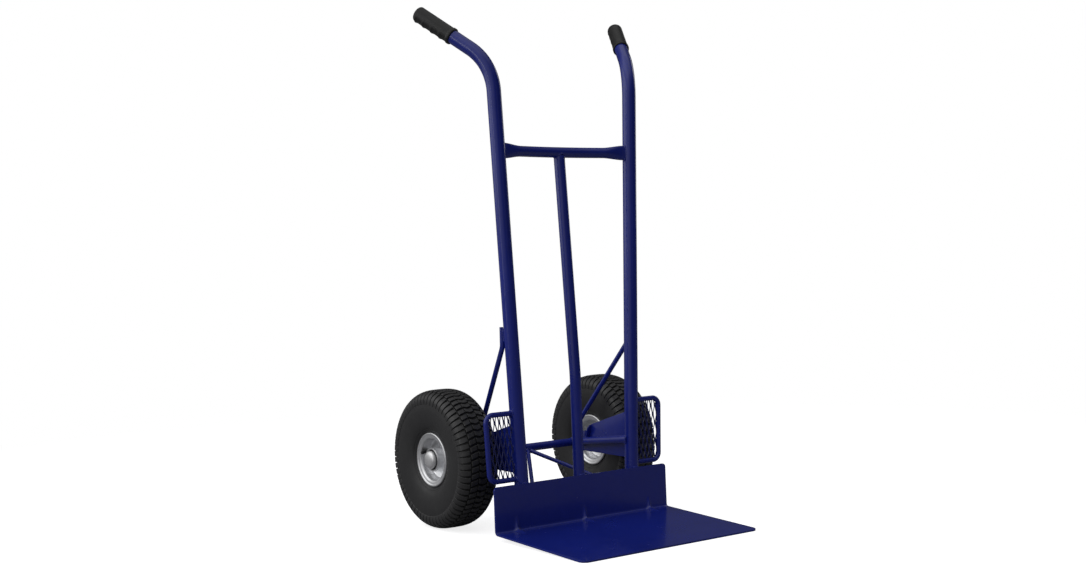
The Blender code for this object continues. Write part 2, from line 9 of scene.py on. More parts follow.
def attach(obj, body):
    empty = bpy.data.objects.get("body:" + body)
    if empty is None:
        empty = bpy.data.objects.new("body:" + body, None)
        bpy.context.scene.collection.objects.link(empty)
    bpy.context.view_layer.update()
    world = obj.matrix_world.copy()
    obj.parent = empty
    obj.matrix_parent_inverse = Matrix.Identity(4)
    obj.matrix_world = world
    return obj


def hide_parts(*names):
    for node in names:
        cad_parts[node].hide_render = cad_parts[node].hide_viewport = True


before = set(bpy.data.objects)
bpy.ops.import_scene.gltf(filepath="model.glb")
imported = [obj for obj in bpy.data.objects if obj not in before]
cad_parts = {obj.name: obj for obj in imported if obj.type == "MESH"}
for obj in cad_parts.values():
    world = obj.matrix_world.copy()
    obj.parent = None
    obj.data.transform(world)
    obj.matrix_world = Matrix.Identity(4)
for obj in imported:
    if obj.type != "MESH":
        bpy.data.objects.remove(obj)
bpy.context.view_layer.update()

# --------------------------------------------------------------- dimensions
# Metres, in the row frame: +Z up, the toe plate towards -Y, the wheels at +Y.
Y0 = -0.0390
LEAN = 0.021
UP_R, UP_WALL = 0.01685, 0.0026
UP_HALF, UP_TAPER, UP_BOTTOM = 0.1625, 0.03955, 0.0235
CORNER_Z, BEND_R = 1.0957, 0.130
TIP = np.array([0.3009, 0.2099, 1.2262])
CROSS_Z, CROSS_R, CROSS_BOW = 0.8945, 0.0127, 0.0275
CENTRE_R, KNEE_Z = 0.01345, 0.362
PLATE_T, PLATE_HALF, PLATE_DEPTH = 0.004, 0.2593, 0.3194
PLATE_REAR_Z, PLATE_FRONT_Z, FLANGE_TOP = 0.0171, 0.0041, 0.1229
GUARD_R, GUARD_TOP, GUARD_BOTTOM, GUARD_OUT, GUARD_CORNER = 0.006, 0.2855, 0.1315, 0.268, 0.0185
AXLE_R, AXLE_Y = 0.010, 0.2310
AXLE_Z = 0.1672 * math.cos(math.pi / 32)
BRACKET_X = 0.1722
ARM_X, ARM_R, ARM_Z = 0.160, 0.010, 0.190
BRACE_R, STRUT_R = 0.006, 0.005
WHEEL_X = 0.2436
VALVE = math.radians(18)
VALVE_X, VALVE_R = 0.0172, 0.0430
SIDES = (("left", -1), ("right", 1))


def up_x(z):
    return UP_HALF + UP_TAPER * z


def up_y(z):
    return PLATE_T + 0.0003 + UP_R + LEAN * z


# ------------------------------------------------------------ mesh helpers
def unit(v):
    v = np.asarray(v, float)
    return v / np.linalg.norm(v)


def build(name, verts, faces, mat, body, stands_for=(), sharp=38, shift=True, closed=True, mats=None, face_mats=None):
    """A mesh object in the row frame that rides on a body and stands for CAD nodes."""
    v = np.array(verts, float)
    if shift:
        v = v + np.array([0, Y0, 0])
    me = bpy.data.meshes.new(name)
    me.from_pydata(v.tolist(), [], [tuple(int(i) for i in f) for f in faces])
    for m in (mats or [mat]):
        me.materials.append(m)
    if face_mats is not None:
        me.polygons.foreach_set("material_index", list(face_mats))
    if closed:
        bm = bmesh.new()
        bm.from_mesh(me)
        bmesh.ops.recalc_face_normals(bm, faces=bm.faces)
        if bm.calc_volume(signed=True) < 0:
            bmesh.ops.reverse_faces(bm, faces=bm.faces)
        bm.to_mesh(me)
        bm.free()
    me.shade_smooth()
    me.set_sharp_from_angle(angle=math.radians(sharp))
    o = bpy.data.objects.new(name, me)
    bpy.context.scene.collection.objects.link(o)
    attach(o, body)
    if stands_for:
        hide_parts(*stands_for)
    return o


def join(parts):
    """Several (verts, faces) pairs as one."""
    V, F, n = [], [], 0
    for v, f in parts:
        V.append(np.asarray(v, float))
        F += [tuple(i + n for i in face) for face in f]
        n += len(v)
    return np.concatenate(V), F


def rounded(points, radii, steps):
    points = [np.asarray(p, float) for p in points]
    out = [points[0]]
    for i in range(1, len(points) - 1):
        a, b, c = points[i - 1], points[i], points[i + 1]
        u, v = unit(a - b), unit(c - b)
        turn = math.pi - math.acos(np.clip(u @ v, -1, 1))
        r, n = radii[i - 1], steps[i - 1]
        if r <= 0 or turn < 1e-4:
            out.append(b)
            continue
        t = r * math.tan(turn / 2)
        centre = b + unit(u + v) * (r / math.cos(turn / 2))
        e1 = unit(b + u * t - centre)
        e2 = unit((b + v * t - centre) - ((b + v * t - centre) @ e1) * e1)
        for k in range(n + 1):
            w = turn * k / n
            out.append(centre + r * (math.cos(w) * e1 + math.sin(w) * e2))
    out.append(points[-1])
    return out


def dense(points, step):
    """The polyline with its long runs divided."""
    out = [np.asarray(points[0], float)]
    for a, b in zip(points, points[1:]):
        a, b = np.asarray(a, float), np.asarray(b, float)
        n = max(1, int(round(np.linalg.norm(b - a) / step)))
        out += [a + (b - a) * k / n for k in range(1, n + 1)]
    return out


def smooth_line(points, per=8, closed=False):
    """A Catmull-Rom curve through the points."""
    P = np.asarray(points, float)
    n = len(P)
    idx = (lambda i: i % n) if closed else (lambda i: min(max(i, 0), n - 1))
    out = []
    for i in range(n if closed else n - 1):
        a, b, c, d = (P[idx(i + k)] for k in (-1, 0, 1, 2))
        for k in range(per):
            t = k / per
            out.append(0.5 * ((2 * b) + (c - a) * t + (2 * a - 5 * b + 4 * c - d) * t * t + (3 * b - a - 3 * c + d) * t ** 3))
    if not closed:
        out.append(P[-1])
    return np.array(out)


def frames(path, closed=False, first=None):
    P = np.asarray(path, float)
    n = len(P)
    T = np.zeros_like(P)
    for i in range(n):
        if closed:
            T[i] = P[(i + 1) % n] - P[i - 1]
        else:
            T[i] = P[min(i + 1, n - 1)] - P[max(i - 1, 0)]
        T[i] /= np.linalg.norm(T[i])
    ref = np.asarray(first if first is not None else ([0, 0, 1] if abs(T[0][2]) < 0.8 else [1, 0, 0]), float)
    N = np.zeros_like(P)
    N[0] = unit(ref - (ref @ T[0]) * T[0])
    for i in range(1, n):
        v = N[i - 1] - (N[i - 1] @ T[i]) * T[i]
        N[i] = v / np.linalg.norm(v)
    return P, T, N, np.cross(T, N)


def sweep(path, ring, closed=False, caps=True, first=None):
    """ring(i) gives the section's (n, b) offsets at path point i."""
    P, T, N, B = frames(path, closed, first)
    V, F = [], []
    for i in range(len(P)):
        for a, b in ring(i):
            V.append(P[i] + a * N[i] + b * B[i])
    k = len(V) // len(P)
    last = len(P) if closed else len(P) - 1
    for i in range(last):
        j = (i + 1) % len(P)
        for m in range(k):
            q = (m + 1) % k
            F.append((i * k + m, i * k + q, j * k + q, j * k + m))
    if caps and not closed:
        F.append(tuple(range(k))[::-1])
        F.append(tuple((len(P) - 1) * k + m for m in range(k)))
    return np.array(V), F


def circle(r, n=32, phase=0.0):
    w = 2 * math.pi * (np.arange(n) + phase) / n
    return np.stack([r * np.cos(w), r * np.sin(w)], 1)


def bar(path, r, n=28, **kw):
    c = circle(r, n)
    return sweep(path, lambda i: c, **kw)


def pipe(path, r, wall, n=48, first=None):
    """A round tube, open at both ends."""
    vo, fo = sweep(path, lambda i: circle(r, n), caps=False, first=first)
    vi, fi = sweep(path, lambda i: circle(r - wall, n), caps=False, first=first)
    V = np.concatenate([vo, vi])
    m = len(vo)
    F = list(fo) + [tuple(m + q for q in f[::-1]) for f in fi]
    for k in range(n):
        q = (k + 1) % n
        F.append((q, k, m + k, m + q))
        e = m - n
        F.append((e + k, e + q, m + e + q, m + e + k))
    return V, F


def lathe(profile, segs, closed=True, side=1, centre=(0.0, AXLE_Y, AXLE_Z)):
    """Turned about X. The profile is (distance outward, radius)."""
    p = np.asarray(profile, float)
    V, F = [], []
    k = len(p)
    for j in range(segs):
        w = 2 * math.pi * j / segs
        for s, r in p:
            V.append((centre[0] + side * s, centre[1] + r * math.cos(w), centre[2] + r * math.sin(w)))
    for j in range(segs):
        q = (j + 1) % segs
        for m in range(k if closed else k - 1):
            n = (m + 1) % k
            F.append((j * k + m, j * k + n, q * k + n, q * k + m))
    return np.array(V), F


def lathe_solid(profile, segs, side=1, centre=(0.0, AXLE_Y, AXLE_Z)):
    """As lathe, but the profile's first and last points lie on the axis."""
    v, f = lathe(profile, segs, closed=False, side=side, centre=centre)
    o = (v, f)
    me = bmesh.new()
    vs = [me.verts.new(c) for c in o[0]]
    for face in o[1]:
        try:
            me.faces.new([vs[i] for i in face])
        except ValueError:
            pass
    bmesh.ops.remove_doubles(me, verts=me.verts, dist=1e-7)
    me.verts.index_update()
    V = np.array([c.co for c in me.verts])
    F = [tuple(c.index for c in face.verts) for face in me.faces]
    me.free()
    return V, F


def thick_line(line, t):
    """A closed outline round a polyline: t to its right-hand side."""
    P = np.asarray(line, float)
    d = np.gradient(P, axis=0)
    d /= np.linalg.norm(d, axis=1)[:, None]
    n = np.stack([d[:, 1], -d[:, 0]], 1)
    return np.concatenate([P, (P + n * t)[::-1]])


rng = np.random.default_rng(7)


def bead(path, r=0.0020, closed=False, ripple=0.0021, flat=1.0):
    """A weld bead: a rippled, slightly uneven round strip."""
    P = np.asarray(dense(list(path) + ([path[0]] if closed else []), 0.00055), float)
    if closed:
        P = P[:-1]
    L = np.concatenate([[0], np.cumsum(np.linalg.norm(np.diff(P, axis=0), axis=1))])
    total = L[-1]
    ph = rng.uniform(0, 6.28)
    waves = [(rng.uniform(0.006, 0.014), rng.uniform(0, 6.28)) for _ in range(2)]
    rad = []
    for s in L:
        k = 1 + 0.10 * (1 - abs(math.sin(math.pi * s / ripple + ph)) * 2) * 0.6
        for wl, p in waves:
            k += 0.055 * math.sin(2 * math.pi * s / wl + p)
        if not closed:
            e = min(s, total - s) / 0.0022
            k *= math.sqrt(max(0.06, 1 - (1 - min(e, 1)) ** 2))
        rad.append(r * k)
    base = circle(1.0, 12)
    return sweep(P, lambda i: base * rad[i] * np.array([1, flat]), closed=closed)


def saddle(point, along, r, axis_point, axis_dir, R, n=36, tall=None):
    """The line where a round bar through point meets a larger round tube."""
    point, along, a0, ad = (np.asarray(x, float) for x in (point, along, axis_point, axis_dir))
    along, ad = unit(along), unit(ad)
    u = unit(ad - (ad @ along) * along)
    v = np.cross(along, u)
    out = []
    for k in range(n):
        w = 2 * math.pi * k / n
        q = point + (tall or r) * math.cos(w) * u + r * math.sin(w) * v
        d = q - a0
        dp = d - (d @ ad) * ad
        lp = along - (along @ ad) * ad
        A, B, C = lp @ lp, 2 * dp @ lp, dp @ dp - R * R
        disc = max(B * B - 4 * A * C, 0)
        t = min(((-B - math.sqrt(disc)) / (2 * A), (-B + math.sqrt(disc)) / (2 * A)), key=abs)
        out.append(q + t * along)
    return out


# ---------------------------------------------------------------- materials
class Nodes:
    def __init__(self, name):
        self.mat = bpy.data.materials.new(name)
        self.mat.use_nodes = True
        self.t = self.mat.node_tree
        self.b = self.t.nodes["Principled BSDF"]
        self.coord = self.t.nodes.new("ShaderNodeTexCoord").outputs["Object"]

    def new(self, kind, **props):
        n = self.t.nodes.new(kind)
        for k, v in props.items():
            setattr(n, k, v)
        return n

    def link(self, a, b):
        self.t.links.new(a, b)

    def mapped(self, scale=(1, 1, 1), offset=(0, 0, 0), rotation=(0, 0, 0)):
        m = self.new("ShaderNodeMapping")
        m.inputs["Scale"].default_value = scale
        m.inputs["Location"].default_value = offset
        m.inputs["Rotation"].default_value = rotation
        self.link(self.coord, m.inputs["Vector"])
        return m.outputs["Vector"]

    def noise(self, scale, detail=3, rough=0.55, vector=None, distortion=0.0):
        n = self.new("ShaderNodeTexNoise")
        n.inputs["Scale"].default_value = scale
        n.inputs["Detail"].default_value = detail
        n.inputs["Roughness"].default_value = rough
        n.inputs["Distortion"].default_value = distortion
        self.link(vector or self.coord, n.inputs["Vector"])
        return n.outputs["Fac"]

    def cells(self, scale, feature="F1", vector=None, out="Distance"):
        n = self.new("ShaderNodeTexVoronoi", feature=feature)
        n.inputs["Scale"].default_value = scale
        self.link(vector or self.coord, n.inputs["Vector"])
        return n.outputs[out]

    def ramp(self, fac, stops):
        r = self.new("ShaderNodeValToRGB")
        e = r.color_ramp.elements
        while len(e) < len(stops):
            e.new(0.5)
        for el, (p, c) in zip(e, stops):
            el.position = p
            el.color = (*c, 1) if len(c) == 3 else c
        self.link(fac, r.inputs["Fac"])
        return r.outputs["Color"]

    def grey(self, fac, a, b, lo=0.0, hi=1.0):
        m = self.new("ShaderNodeMapRange")
        m.inputs["From Min"].default_value = lo
        m.inputs["From Max"].default_value = hi
        m.inputs["To Min"].default_value = a
        m.inputs["To Max"].default_value = b
        self.link(fac, m.inputs["Value"])
        return m.outputs["Result"]

    def mix(self, fac, a, b, mode="MIX"):
        m = self.new("ShaderNodeMix", data_type="RGBA", blend_type=mode)
        for s, v in (("Factor", fac), ("A", a), ("B", b)):
            i = [x for x in m.inputs if x.name == s and (x.type == ("VALUE" if s == "Factor" else "RGBA"))][0]
            if hasattr(v, "is_linked") or hasattr(v, "links"):
                self.link(v, i)
            else:
                i.default_value = v if s == "Factor" else (*v, 1)
        return [x for x in m.outputs if x.type == "RGBA"][0]

    def math(self, op, a, b=None, c=None):
        m = self.new("ShaderNodeMath", operation=op)
        for i, v in enumerate((a, b, c)):
            if v is None:
                continue
            if hasattr(v, "links"):
                self.link(v, m.inputs[i])
            else:
                m.inputs[i].default_value = v
        return m.outputs["Value"]

    def radius(self, centre):
        """Distance from a wheel's axis."""
        x = self.new("ShaderNodeSeparateXYZ")
        self.link(self.coord, x.inputs[0])
        y = self.math("SUBTRACT", x.outputs["Y"], centre[0])
        z = self.math("SUBTRACT", x.outputs["Z"], centre[1])
        return self.math("SQRT", self.math("ADD", self.math("MULTIPLY", y, y), self.math("MULTIPLY", z, z))), x.outputs

    def bump(self, height, strength, distance, chain=None):
        b = self.new("ShaderNodeBump")
        b.inputs["Strength"].default_value = strength
        b.inputs["Distance"].default_value = distance
        self.link(height, b.inputs["Height"])
        if chain is not None:
            self.link(chain, b.inputs["Normal"])
        return b.outputs["Normal"]

    def set(self, **kw):
        for k, v in kw.items():
            i = self.b.inputs[k.replace("_", " ")]
            if hasattr(v, "links"):
                self.link(v, i)
            else:
                i.default_value = v if not isinstance(v, tuple) else (*v, 1)
        return self.mat


BLUE = (0.0118, 0.0260, 0.3150)


def tint(c, k, add=0.0):
    return tuple(min(1, x * k + add) for x in c)


def paint(name, wear=0.0, peel=1.0, grain=0.0, shade=1.0):
    n = Nodes(name)
    # shade below 1 darkens the whole colour, dust tone included: painted shade, a shaded copy of the same enamel
    BASE = tint(BLUE, shade)
    big = n.noise(3.5, 3)
    mid = n.noise(38, 4, 0.6)
    colour = n.ramp(big, [(0.30, tint(BASE, 0.86)), (0.52, BASE), (0.75, tint(BASE, 1.16))])
    colour = n.mix(n.grey(mid, 0.0, 0.16, 0.35, 0.7), colour, tint(BASE, 0.70))
    dust = n.grey(n.noise(9, 6, 0.68), 0.0, 0.020 + 0.02 * wear, 0.52, 0.80)
    colour = n.mix(dust, colour, tint((0.20, 0.23, 0.42), shade))
    rough = n.grey(n.noise(26, 4), 0.19, 0.29, 0.3, 0.75)
    if wear:
        streak = n.noise(1.0, 5, 0.7, n.mapped((420, 5, 5), rotation=(0, 0, 0.22)))
        lines = n.grey(streak, 0.0, 1.0, 0.66, 0.78)
        patch = n.grey(n.noise(6, 2), 0.0, 1.0, 0.48, 0.70)
        mark = n.math("MULTIPLY", lines, patch)
        colour = n.mix(n.math("MULTIPLY", mark, 0.10 * wear), colour, (0.10, 0.14, 0.45))
        rough = n.math("ADD", rough, n.math("MULTIPLY", mark, 0.14 * wear))
    peel_n = n.bump(n.noise(420, 2, 0.5), 0.035 * peel, 0.0005)
    wave_n = n.bump(n.noise(30, 2, 0.4), 0.10 * peel, 0.0010, peel_n)
    if grain:
        wave_n = n.bump(n.noise(1400, 2, 0.6), grain, 0.0005, wave_n)
    return n.set(Base_Color=colour, Roughness=rough, Normal=wave_n, IOR=1.5, Coat_Weight=0.35, Coat_Roughness=0.10)


PAINT = paint("navy_enamel")
PLATE_PAINT = paint("navy_enamel_plate", wear=0.8, peel=0.8)
WELD_PAINT = paint("navy_enamel_weld", peel=1.6, grain=0.25)
# painted shade: the mesh's enamel is the frame's navy darkened to half brightness
MESH_PAINT = paint("navy_enamel_mesh", peel=1.2, shade=0.5)


def vinyl():
    n = Nodes("grip_vinyl")
    pebble = n.cells(1150)
    c = n.ramp(n.noise(14, 4), [(0.30, (0.0085, 0.0085, 0.0088)), (0.70, (0.0165, 0.0165, 0.0168))])
    c = n.mix(n.grey(pebble, 0.0, 0.35, 0.0, 0.6), c, (0.006, 0.006, 0.0062))
    rough = n.grey(n.noise(60, 4), 0.34, 0.50, 0.3, 0.7)
    nb = n.bump(pebble, 0.12, 0.0004)
    nb = n.bump(n.noise(420, 3), 0.18, 0.0004, nb)
    return n.set(Base_Color=c, Roughness=rough, Normal=nb, IOR=1.5)


def tyre_rubber(name, tread=False):
    n = Nodes(name)
    rad, xyz = n.radius((AXLE_Y + Y0, AXLE_Z))
    c = n.ramp(n.noise(7, 5, 0.6), [(0.28, (0.021, 0.021, 0.0225)), (0.55, (0.030, 0.030, 0.0315)), (0.80, (0.042, 0.042, 0.0425))])
    fine = n.noise(260, 5, 0.65)
    c = n.mix(n.grey(fine, 0.0, 0.30, 0.35, 0.7), c, (0.016, 0.016, 0.017))
    if tread:
        c = n.mix(0.35, c, (0.060, 0.060, 0.062))
    # dry dust that settles towards the tread, and faint scuffs
    dust = n.math("MULTIPLY", n.grey(rad, 0.0, 1.0, 0.115, 0.163), n.grey(n.noise(34, 6, 0.7), 0.0, 0.5, 0.42, 0.72))
    c = n.mix(dust, c, (0.050, 0.049, 0.047))
    scuff = n.math("MULTIPLY", n.grey(n.noise(1.0, 5, 0.7, n.mapped((9, 70, 26))), 0.0, 1.0, 0.66, 0.74), n.grey(n.noise(13, 2), 0.0, 0.35, 0.50, 0.66))
    c = n.mix(scuff, c, (0.17, 0.17, 0.17))
    if not tread:
        # painted shade: the floor of the grooves between the lugs is darkened almost to black by radius
        c = n.mix(n.grey(rad, 0.0, 0.85, 0.1475, 0.1530), c, (0.004, 0.004, 0.004))
    rough = n.grey(n.noise(45, 4), 0.40 if not tread else 0.29, 0.56 if not tread else 0.46, 0.3, 0.7)
    ring = n.math("SINE", n.math("MULTIPLY", rad, 2 * math.pi / 0.0016))
    nb = n.bump(n.noise(900, 4, 0.65), 0.22, 0.0005)
    nb = n.bump(n.noise(120, 3, 0.5), 0.18, 0.0007, nb)
    if not tread:
        nb = n.bump(ring, 0.05, 0.0002, nb)
    return n.set(Base_Color=c, Roughness=rough, Normal=nb, IOR=1.5)


def zinc(name, tone=(0.88, 0.885, 0.90), lo=0.27, hi=0.36, rings=0.04, metallic=0.88):
    n = Nodes(name)
    rad, xyz = n.radius((AXLE_Y + Y0, AXLE_Z))
    spangle = n.cells(150, out="Color")
    bw = n.new("ShaderNodeRGBToBW")
    n.link(spangle, bw.inputs[0])
    c = n.ramp(bw.outputs[0], [(0.1, tint(tone, 0.96)), (0.5, tone), (0.9, tint(tone, 1.04))])
    c = n.mix(n.grey(n.noise(28, 5, 0.65), 0.0, 0.16, 0.45, 0.80), c, (0.58, 0.59, 0.62))
    c = n.mix(n.grey(n.noise(9, 3), 0.0, 0.10, 0.55, 0.75), c, (0.66, 0.63, 0.56))
    rough = n.grey(n.noise(70, 5, 0.6), lo, hi, 0.3, 0.7)
    ring = n.math("SINE", n.math("MULTIPLY", rad, 2 * math.pi / 0.0011))
    nb = n.bump(n.noise(300, 2, 0.5), 0.02, 0.0002)
    nb = n.bump(ring, rings, 0.00008, nb)
    return n.set(Base_Color=c, Roughness=rough, Normal=nb, Metallic=metallic)


def steel(name, tone=(0.56, 0.56, 0.57)):
    n = Nodes(name)
    turn = n.noise(1.0, 4, 0.6, n.mapped((1600, 12, 12)))
    c = n.ramp(n.noise(55, 4), [(0.3, tint(tone, 0.82)), (0.7, tint(tone, 1.12))])
    c = n.mix(n.grey(n.noise(160, 5, 0.7), 0.0, 0.5, 0.55, 0.8), c, (0.20, 0.18, 0.16))
    rough = n.grey(turn, 0.22, 0.44, 0.3, 0.7)
    nb = n.bump(turn, 0.12, 0.0002)
    return n.set(Base_Color=c, Roughness=rough, Normal=nb, Metallic=1.0)


def soft(name, tone=(0.014, 0.014, 0.014), lo=0.45, hi=0.7):
    n = Nodes(name)
    c = n.ramp(n.noise(90, 4), [(0.3, tint(tone, 0.8)), (0.7, tint(tone, 1.5))])
    rough = n.grey(n.noise(150, 3), lo, hi, 0.3, 0.7)
    nb = n.bump(n.noise(1200, 3), 0.2, 0.0003)
    return n.set(Base_Color=c, Roughness=rough, Normal=nb)


VINYL = vinyl()
RUBBER = tyre_rubber("tyre_sidewall")
TREAD = tyre_rubber("tyre_tread", tread=True)
ZINC = zinc("zinc_plate")
HUB_ZINC = zinc("zinc_hub", (0.66, 0.665, 0.68), 0.28, 0.48, 0.10)
CAP = zinc("cap_bright", (0.97, 0.97, 0.975), 0.32, 0.44, 0.02, metallic=0.80)
STEEL = steel("turned_steel")
SOFT = soft("black_rubber")
PLASTIC = soft("black_cap_plastic", (0.017, 0.017, 0.018), 0.30, 0.5)
SEAL = soft("bearing_seal", (0.020, 0.021, 0.024), 0.35, 0.55)

# ------------------------------------------------- CAD nodes that stay as they are
for side, s in SIDES:
    for node, m in (("inner_tube", SOFT), ("outer_bearing", STEEL), ("axle_washer", STEEL), ("axle_clip", STEEL)):
        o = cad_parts[side + "_" + node]
        o.data.materials.clear()
        o.data.materials.append(m)

# ----------------------------------------------------------------- uprights
corner = np.array([up_x(CORNER_Z), up_y(CORNER_Z), CORNER_Z])
gdir = unit(TIP - corner)
up_dir = unit([UP_TAPER, LEAN, 1.0])
for side, s in SIDES:
    M = np.array([s, 1, 1])
    path = rounded([(up_x(UP_BOTTOM), up_y(UP_BOTTOM), UP_BOTTOM), corner, TIP - gdir * 0.0045], [BEND_R], [40])
    path = dense(path, 0.05)
    v, f = pipe([p * M for p in path], UP_R, UP_WALL, 56, first=[0, 1, 0])
    build(side + "_upright_tube", v, f, PAINT, "frame", [side + "_upright"])

# -------------------------------------------------------------------- grips
L = 0.112
GR = 0.0189
down = np.array([0, 0, -1.0])
down = unit(down - (down @ gdir) * gdir)
for side, s in SIDES:
    M = np.array([s, 1, 1])
    d, dn = gdir * M, down * M
    b = np.cross(d, dn)
    rows = []
    for t in np.linspace(0, 1, 15)[:-1]:
        w = t * math.pi / 2
        rows.append((0.0065 * (1 - math.cos(w)) if t else 0.0, (GR - 0.0078) + 0.0078 * math.sin(w)))
    rows += [(x, GR) for x in np.linspace(0.0067, L - 0.0095, 96)]
    rows += [(L - 0.0085, GR + 0.0004), (L - 0.0078, GR + 0.0012), (L - 0.0070, GR + 0.0016), (L - 0.0020, GR + 0.0016),
             (L - 0.0008, GR + 0.0011), (L, GR + 0.0002), (L, UP_R + 0.0001)]
    n = 72
    V = [TIP * M]
    for x, r in rows:
        for k in range(n):
            w = 2 * math.pi * k / n
            rr = r
            if 0.008 < x < L - 0.010:
                low = max(0.0, math.cos(w)) ** 1.3
                ridge = sum(math.exp(-((x - c) / 0.0042) ** 2) for c in (0.0085, 0.0335, 0.0590, 0.0845))
                rr += 0.0017 * low * ridge
                # fine grip rings on the upper half
                top = max(0.0, -math.cos(w)) ** 0.5
                rr += 0.00012 * top * math.cos(2 * math.pi * x / 0.0032)
            V.append(TIP * M - d * x + rr * (math.cos(w) * dn + math.sin(w) * b))
    F = [(0, 1 + (k + 1) % n, 1 + k) for k in range(n)]
    for i in range(len(rows) - 1):
        for k in range(n):
            q = (k + 1) % n
            F.append((1 + i * n + k, 1 + i * n + q, 1 + (i + 1) * n + q, 1 + (i + 1) * n + k))
    build(side + "_grip_sleeve", V, F, VINYL, "frame", [side + "_grip"], sharp=50, closed=False)

# ----------------------------------------------------------- top cross tube
half = up_x(CROSS_Z) - UP_R - 0.0002
xs = half * np.concatenate([-np.linspace(1, 0.62, 34), np.linspace(-0.60, 0.60, 41), np.linspace(0.62, 1, 34)])
NS = 48
V, F = [], []
for x in xs:
    e = max(0.0, (abs(x) / half - 0.68) / 0.32)
    e = e * e * (3 - 2 * e)
    tall = CROSS_R + (0.0180 - CROSS_R) * e
    thin = CROSS_R + (0.0046 - CROSS_R) * e
    y = up_y(CROSS_Z) + CROSS_BOW * (1 - (x / half) ** 2)
    sl = -2 * CROSS_BOW * x / half ** 2
    nn = unit([-sl, 1, 0]) if abs(x) < half else np.array([0, 1.0, 0])
    for k in range(NS):
        w = 2 * math.pi * k / NS
        # pressed ends have flat faces rather than an oval section
        cx, sz = math.cos(w), math.sin(w)
        p = 1 - 0.45 * e
        cx = math.copysign(abs(cx) ** p, cx)
        q = np.array([x, y, CROSS_Z]) + nn * (thin * cx) + np.array([0, 0, tall * sz])
        q[0] += (x / half) * e * UP_TAPER * tall * sz
        V.append(q)
for i in range(len(xs) - 1):
    for k in range(NS):
        q = (k + 1) % NS
        F.append((i * NS + k, i * NS + q, (i + 1) * NS + q, (i + 1) * NS + k))
F.append(tuple(range(NS)))
F.append(tuple((len(xs) - 1) * NS + k for k in range(NS)))
build("cross_tube", V, F, PAINT, "frame", ["top_cross_tube"])

# -------------------------------------------------------------- centre tube
cross_y = up_y(CROSS_Z) + CROSS_BOW
knee = (0, PLATE_T + 0.0003 + CENTRE_R + LEAN * KNEE_Z, KNEE_Z)
foot = (0, PLATE_T + 0.0003 + CENTRE_R + LEAN * UP_BOTTOM, UP_BOTTOM)
path = dense(rounded([foot, knee, (0, cross_y - 0.0005, CROSS_Z - 0.008)], [0.6], [20]), 0.05)
v, f = pipe(path, CENTRE_R, 0.0023, 48, first=[0, 1, 0])
build("centre_tube_long", v, f, PAINT, "frame", ["centre_tube"])

# ---------------------------------------------------------------- toe plate
A = np.array([0, -PLATE_DEPTH, PLATE_FRONT_Z])
fold = np.array([0, LEAN * PLATE_REAR_Z, PLATE_REAR_Z])
Bp = np.array([0, LEAN * FLANGE_TOP, FLANGE_TOP])
line = rounded([A, fold, Bp], [0.006], [10])
P = np.array(line)
arc = np.concatenate([[0], np.cumsum(np.linalg.norm(np.diff(P, axis=0), axis=1))])
mid = (arc[1] + arc[-2]) / 2
total = arc[-1]


def on_line(s):
    s = min(max(s, 0), total)
    i = min(int(np.searchsorted(arc, s, side="right")) - 1, len(arc) - 2)
    t = (s - arc[i]) / (arc[i + 1] - arc[i])
    return P[i] * (1 - t) + P[i + 1] * t


fr, tr = 0.018, 0.009
ends = lambda r, n: [r * (1 - math.cos(math.pi / 2 * k / n)) for k in range(n + 1)]
rows = sorted(set([round(x, 7) for x in
    ends(fr, 14) + list(np.linspace(fr, mid - 0.060, 26)) + list(np.linspace(mid - 0.060, mid - 0.012, 33))
    + list(np.linspace(mid - 0.012, mid + 0.012, 22)) + list(np.linspace(mid + 0.012, mid + 0.045, 24))
    + list(np.linspace(mid + 0.045, total - tr, 10)) + [total - x for x in ends(tr, 10)]]))
darts = (-0.200, 0.0, 0.200)
cols = set(np.round(np.linspace(-PLATE_HALF, PLATE_HALF, 61), 6))
for c in darts:
    cols |= set(np.round(np.linspace(c - 0.020, c + 0.020, 41), 6))
cols = np.array(sorted(cols)) / PLATE_HALF
bis = unit([0, -1, 1])
V = []
for s in rows:
    w = PLATE_HALF
    if s < fr:
        w -= fr - math.sqrt(max(0.0, fr * fr - (fr - s) ** 2))
    if s > total - tr:
        e = total - s
        w -= tr - math.sqrt(max(0.0, tr * tr - (tr - e) ** 2))
    p = on_line(s)
    for c in cols:
        x = c * w
        g = s - mid
        reach = 0.046 if g < 0 else 0.034
        k = max(0.0, 1 - abs(g) / reach)
        k = k * k * (3 - 2 * k) if k < 1 else 1
        q = 0.0
        for dx in darts:
            width = 0.0022 + 0.0034 * max(0.0, 1 - abs(g) / reach)
            q += math.exp(-((x - dx) / width) ** 2)
        V.append(np.array([x, 0, 0]) + p + bis * (0.0068 * k * q))
n = len(cols)
F = []
for i in range(len(rows) - 1):
    for k in range(n - 1):
        F.append((i * n + k, i * n + k + 1, (i + 1) * n + k + 1, (i + 1) * n + k))
me = bpy.data.meshes.new("plate_sheet")
me.from_pydata([tuple(x) for x in (np.array(V) + np.array([0, Y0, 0]))], [], F)
me.update()
if sum(p.normal.z for p in me.polygons) < 0:
    me.flip_normals()
plate = bpy.data.objects.new("plate_sheet_work", me)
bpy.context.scene.collection.objects.link(plate)
m = plate.modifiers.new("sheet", "SOLIDIFY")
m.thickness, m.offset, m.use_even_offset = PLATE_T, -1, False
m = plate.modifiers.new("edge", "BEVEL")
m.width, m.segments, m.limit_method, m.angle_limit = 0.0011, 3, "ANGLE", math.radians(55)
bpy.context.view_layer.update()
done = bpy.data.meshes.new_from_object(plate.evaluated_get(bpy.context.evaluated_depsgraph_get()))
bpy.data.objects.remove(plate, do_unlink=True)
done.materials.clear()
done.materials.append(PLATE_PAINT)
done.shade_smooth()
done.set_sharp_from_angle(angle=math.radians(40))
plate = bpy.data.objects.new("folded_plate", done)
bpy.context.scene.collection.objects.link(plate)
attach(plate, "frame")
